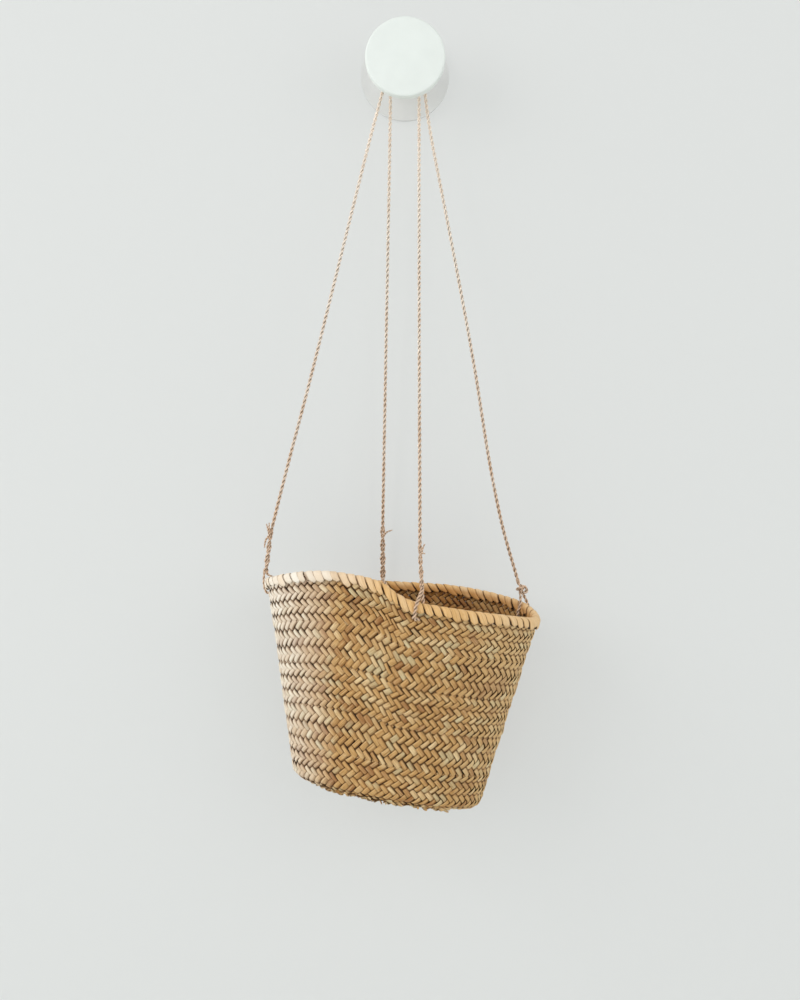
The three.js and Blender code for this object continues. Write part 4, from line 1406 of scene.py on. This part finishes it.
class HUNG_BASKET_OT_cords(bpy.types.Operator):
    """Lays the two twisted cords over the peg's neck and fastens them to the basket"""

    bl_idname = "hung_basket.cords"
    bl_label = "Cords"

    def execute(self, context):
        self.lay_cord("outer", OUTER_BIGHT_RADIUS, "left", "right")
        self.lay_cord("inner", INNER_BIGHT_RADIUS, "back", "front")
        return {"FINISHED"}

    def lay_cord(self, which, radius, first, last):
        """One whole cord, cut where it bends at the neck, so that its plies run on from piece to piece."""
        up_leg = smooth_route(LEG_ROUTES[first])[::-1]
        turns = np.linspace(math.pi, 0, BIGHT_POINTS)
        neck = np.full(BIGHT_POINTS, NECK_Y)
        bight = np.stack([radius * np.cos(turns), neck, radius * np.sin(turns)], axis=-1)
        whole = np.concatenate([up_leg, bight, smooth_route(LEG_ROUTES[last])])
        sides = carried_sides(whole)
        run = distances(whole)
        bight_start, bight_end = len(up_leg), len(up_leg) + BIGHT_POINTS
        stretches = [
            (f"leg_{first}", 0, bight_start + LAP_POINTS),
            (f"bight_{which}", bight_start, bight_end),
            (f"leg_{last}", bight_end - LAP_POINTS, len(whole)),
        ]
        for name, start, end in stretches:
            changes = {"Start": float(run[start])}
            piece = twisted_cord("twine_" + name, whole[start:end], changes, sides[start:end])
            self.fasten(piece, name, whole[start:end])

    def fasten(self, piece, name, route):
        """Joins a stretch to its body and makes its leg's end. The left and right legs join no body; their
        place is baked into their mesh.
        """
        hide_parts("cord_" + name)
        ends = []
        if name.startswith("bight"):
            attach(piece, "cord_bights")
        else:
            where = name.removeprefix("leg_")
            ends = self.make_end(where)
            if where in ("left", "right"):
                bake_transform(piece)
            else:
                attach(piece, "cord_legs")

    def make_end(self, where):
        """The eye of a leg, with the splice and loose tail or the knot over it."""
        eye = Eye(where)
        changes = {"Diameter": eye.strand_diameter, "Lay": STRAND_LAY}
        loop = twisted_cord("twine_eye_" + where, eye.route(), changes)
        place(loop, "basket", "cord_fibre", "cord_eye_" + where)
        if where == "right":
            route = smooth_route(eye.middle + np.array(KNOT_ROUTE), FINE_STEP)
            knot = twisted_cord("twine_knot_right", route)
            place(knot, "basket", "cord_fibre", "cord_knot_right")
            return [loop, knot]
        diameter = getattr(settings().cord, "splice_" + where)
        strand = diameter * SPLICE_STRAND_SHARE
        parts = []
        changes = {"Diameter": strand, "Lay": STRAND_LAY, "End Share": SPLICE_END_SHARE}
        for sign in (1, -1):
            route = eye.strand(sign, (diameter - strand) / 2, diameter * SPLICE_LAY_SHARE)
            parts.append(twisted_cord("strand", route, changes))
        changes = {
            "Diameter": TAIL_DIAMETER, "Lay": TAIL_LAY, "End Share": TAIL_END_SHARE, "Fibres": TAIL_FIBRES,
        }
        for points in TAIL_ROUTES[where]:
            route = smooth_route(eye.leg_end + np.array(points), FINE_STEP)
            parts.append(twisted_cord("tail", route, changes))
        splice = joined("twine_splice_" + where, parts)
        place(splice, "basket" if where == "left" else "cord_legs", "cord_fibre", "cord_splice_" + where)
        return [loop, splice]


def plait_ring(name, point_at, rows, first_row, seed):
    """One ring of plait on a sheet round the basket."""
    plait = settings().plait
    past = (ROW_OVERRUN + SHEET_OVERRUN) / rows
    levels = np.linspace(-past, 1 + past, LEVELS_PER_ROW * rows + SPARE_LEVELS)

    def by_hand(angle, level):
        return laid_by_hand(point_at(angle, level))

    sheet, length = sheet_round(name, by_hand, levels)
    values = {
        "Leaves": round(length / plait.pitch), "Rows": rows, "First Row": first_row, "Fill": plait.fill,
        "Thickness": plait.thickness, "Lift": plait.lift, "Seed": seed, "Material": plait_material(),
    }
    return run_tree(name, sheet, tree_for("plait"), values)


def cord_round(name, point_at, diameter):
    """A thin cord that runs once round the basket inside the plait."""
    angles = np.linspace(0, 2 * np.pi, ROUND_CORD_POINTS)
    changes = {"Diameter": diameter, "Lay": diameter * ROUND_CORD_LAY, "Fibres": 0.0}
    return twisted_cord(name, point_at(angles), changes)


class HUNG_BASKET_OT_wall(bpy.types.Operator):
    """Plaits the courses of the wall and sews them together"""

    bl_idname = "hung_basket.wall"
    bl_label = "Wall"

    def execute(self, context):
        first_row = 0
        for course, rows in enumerate(COURSE_ROWS):
            number = course + 1

            def on_course(angle, level, upper=course):
                return leaf_point(angle, seam_drop(angle, upper + level))

            piece = plait_ring(f"plait_course_{number}", on_course, rows, first_row, number)
            place(piece, "basket", "leaf_plait", f"wall_course_{number}")
            sewing = cord_round(
                f"sewing_{number}", lambda angle: self.behind_plait(angle, seam_drop(angle, number)),
                SEAM_CORD_DIAMETER,
            )
            place(sewing, "basket", "cord_fibre", f"seam_cord_{number}")
            first_row += rows
        return {"FINISHED"}

    @staticmethod
    def behind_plait(angle, drop):
        return leaf_point(angle, drop) - leaf_normal(angle, drop) * SEAM_CORD_DIAMETER * SEWING_DEPTH


class HUNG_BASKET_OT_base(bpy.types.Operator):
    """Plaits the base"""

    bl_idname = "hung_basket.base"
    bl_label = "Base"

    def execute(self, context):
        first_row = sum(COURSE_ROWS)
        band = self.ring(0.0, BASE_TURN_WIDTH)
        turn = plait_ring("turn", band, BASE_TURN_ROWS, first_row, BASE_TURN_SEED)
        turn = joined("plait_base_turn", [turn, self.loose_ends()])
        place(turn, "basket", "leaf_plait", "base_turn")
        rings = []
        for number in range(BASE_RING_COUNT):
            band = self.ring(BASE_TURN_WIDTH + number * BASE_RING_WIDTH, BASE_RING_WIDTH)
            row = first_row + BASE_TURN_ROWS + number
            rings.append(plait_ring(f"base_ring_{number + 1}", band, 1, row, BASE_RING_SEED + number))
        place(joined("plait_base_centre", rings), "basket", "leaf_plait", "base_centre")
        seam = self.ring(BASE_TURN_WIDTH, 0.0)
        sewing = cord_round("sewing_base", lambda angle: seam(angle, 0.0), SEAM_CORD_DIAMETER)
        place(sewing, "basket", "cord_fibre", "seam_cord_base")
        return {"FINISHED"}

    def loose_ends(self):
        """Cut ends of leaf along the front of the corner."""
        band = self.ring(-LOOSE_BAND / 2, LOOSE_BAND)
        sheet, length = sheet_round("loose_ends", band, np.linspace(-1.0, 2.0, 25))
        plait = settings().plait
        values = {
            "Ends": LOOSE_COUNT, "From": LOOSE_START, "To": LOOSE_STOP, "Round": length, "Across": LOOSE_BAND,
            "Length": LOOSE_LENGTH, "Width": LOOSE_WIDTH, "Lift": LOOSE_LIFT, "Thickness": plait.thickness,
            "Seed": LOOSE_SEED, "Material": plait_material(),
        }
        return run_tree("loose_ends", sheet, tree_for("loose ends"), values)

    @staticmethod
    def ring(start, width):
        """A band of the base, from its distance past the corner."""
        def point_at(angle, level):
            return leaf_point(angle, seam_drop(angle, COURSE_COUNT) + start + width * level)
        return point_at


class HUNG_BASKET_OT_rim(bpy.types.Operator):
    """Binds the rim over its core"""

    bl_idname = "hung_basket.rim"
    bl_label = "Rim"

    def execute(self, context):
        rim = settings().rim
        levels = np.linspace(-WRAP_SHEET_MARGIN, 1 + WRAP_SHEET_MARGIN, WRAP_SHEET_LEVELS)
        sheet, length = sheet_round("rim_wraps", self.over_rim, levels)
        values = {
            "Wraps": round(length / rim.wrap_pitch), "Slant": WRAP_SLANT, "Bulge": rim.bulge,
            "Thickness": rim.thickness, "Lumps At": LUMPS_AT, "Seed": WRAP_SEED,
            "Material": binding_material(),
        }
        wraps = run_tree("rim_wraps", sheet, tree_for("wraps"), values)
        place(wraps, "basket", "leaf_binding", "rim_binding")
        cores = []
        for drop in CORE_DROPS:
            cores.append(cord_round("core", lambda angle: leaf_point(angle, drop), CORE_DIAMETER))
        place(joined("rim_cord", cores), "basket", "cord_fibre", "rim_core")
        return {"FINISHED"}

    @staticmethod
    def over_rim(angle, level):
        """Round the rim's section, from its inner lower edge over the top to the outer one."""
        whole = 2 * (BINDING_HEIGHT - BINDING_HALF) + math.pi * BINDING_HALF
        run = (level - 0.5) * whole
        turn = np.clip(run / BINDING_HALF, -math.pi / 2, math.pi / 2)
        below = max(abs(run) - math.pi / 2 * BINDING_HALF, 0.0)
        drop = BINDING_HALF * (1 - np.cos(turn)) + below
        out = leaf_normal(angle, BINDING_HEIGHT / 2)
        return leaf_point(angle, drop) + out * BINDING_HALF * np.sin(turn)


def turned(name, profile, material):
    """A shape turned about the peg's axis, from a profile of radius and distance from the wall."""
    shape = bmesh.new()
    line = [shape.verts.new((radius, -distance, 0.0)) for radius, distance in profile]
    edges = [shape.edges.new(pair) for pair in zip(line, line[1:])]
    bmesh.ops.spin(
        shape, geom=line + edges, cent=(0, 0, 0), axis=(0, 1, 0), angle=2 * math.pi, steps=PEG_SIDES,
        use_merge=True,
    )
    bmesh.ops.remove_doubles(shape, verts=shape.verts, dist=1e-6)
    bmesh.ops.recalc_face_normals(shape, faces=shape.faces)
    mesh = bpy.data.meshes.new(name)
    shape.to_mesh(mesh)
    shape.free()
    mesh.shade_smooth()
    mesh.set_sharp_from_angle(angle=PEG_SHARP_ANGLE)
    mesh.materials.append(material)
    return add_object(name, mesh)


class HUNG_BASKET_OT_peg(bpy.types.Operator):
    """Turns the peg and its insert"""

    bl_idname = "hung_basket.peg"
    bl_label = "Peg"

    def execute(self, context):
        peg = settings().peg
        body = turned("turned_peg", self.peg_profile(peg), peg_material())
        place(body, "wall_peg", "peg_paint", "peg_body")
        inner, outer, depth = peg.insert_bore / 2, peg.insert_diameter / 2, peg.insert_length
        ring = [(inner, 0.0), (outer, 0.0), (outer, depth), (inner, depth), (inner, 0.0)]
        insert = turned("bolt_insert", ring, steel_material())
        place(insert, "wall_peg", "insert_steel", "peg_insert")
        return {"FINISHED"}

    @staticmethod
    def peg_profile(peg):
        """From the bottom of the bolt's bore, round the back and neck, to the middle of the front."""
        neck, base, front = peg.neck_diameter / 2, peg.base_diameter / 2, peg.front_diameter / 2
        seat = peg.insert_diameter / 2 + SEAT_GAP
        bore = BOLT_BORE_DIAMETER / 2
        profile = [
            (0.0, BOLT_BORE_DEPTH), (bore, BOLT_BORE_DEPTH), (bore, peg.insert_length + SEAT_GAP),
            (seat, peg.insert_length + SEAT_GAP), (seat, 0.0), (base - PEG_BACK_BEVEL, 0.0),
            (base, PEG_BACK_BEVEL), (base, peg.base_edge),
        ]
        quarter = np.linspace(0, math.pi / 2, QUARTER_POINTS)
        for turn in quarter[1:]:
            depth = peg.neck_back + (peg.base_edge - peg.neck_back) * math.cos(turn)
            profile.append((base - (base - neck) * math.sin(turn), depth))
        shoulder = peg.reach - peg.front_edge
        for turn in quarter[::-1]:
            depth = peg.neck_front + (shoulder - peg.neck_front) * math.cos(turn)
            profile.append((front - (front - neck) * math.sin(turn), depth))
        for turn in quarter[::3]:
            radius = front - peg.edge_radius * (1 - math.cos(turn))
            profile.append((radius, peg.reach - peg.edge_radius * (1 - math.sin(turn))))
        profile.append((0.0, peg.reach))
        return profile


class HUNG_BASKET_PT_panel(bpy.types.Panel):
    """Lists the steps that make the basket, and its settings"""

    bl_idname = "HUNG_BASKET_PT_panel"
    bl_label = "Hung basket"
    bl_space_type = "VIEW_3D"
    bl_region_type = "UI"
    bl_category = "Hung basket"

    def draw(self, context):
        for step in STEPS:
            self.layout.operator(step.bl_idname)
        for group in ("stage", "cord", "plait", "rim", "peg"):
            owner = getattr(context.scene.hung_basket, group)
            box = self.layout.box()
            for name in owner.__annotations__:
                box.prop(owner, name)


SETTINGS = (StageSettings, CordSettings, PlaitSettings, RimSettings, PegSettings, BasketSettings)
STEPS = (
    HUNG_BASKET_OT_stage, HUNG_BASKET_OT_cords, HUNG_BASKET_OT_wall, HUNG_BASKET_OT_base, HUNG_BASKET_OT_rim,
    HUNG_BASKET_OT_peg,
)


def register():
    for owner in (*SETTINGS, *STEPS, HUNG_BASKET_PT_panel):
        bpy.utils.register_class(owner)
    bpy.types.Scene.hung_basket = PointerProperty(type=BasketSettings)


def unregister():
    del bpy.types.Scene.hung_basket
    for owner in (HUNG_BASKET_PT_panel, *reversed(STEPS), *reversed(SETTINGS)):
        bpy.utils.unregister_class(owner)


def main():
    register()
    bpy.ops.hung_basket.stage()
    bpy.ops.hung_basket.cords()
    bpy.ops.hung_basket.wall()
    bpy.ops.hung_basket.base()
    bpy.ops.hung_basket.rim()
    bpy.ops.hung_basket.peg()
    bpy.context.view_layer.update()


if __name__ == "__main__":
    main()
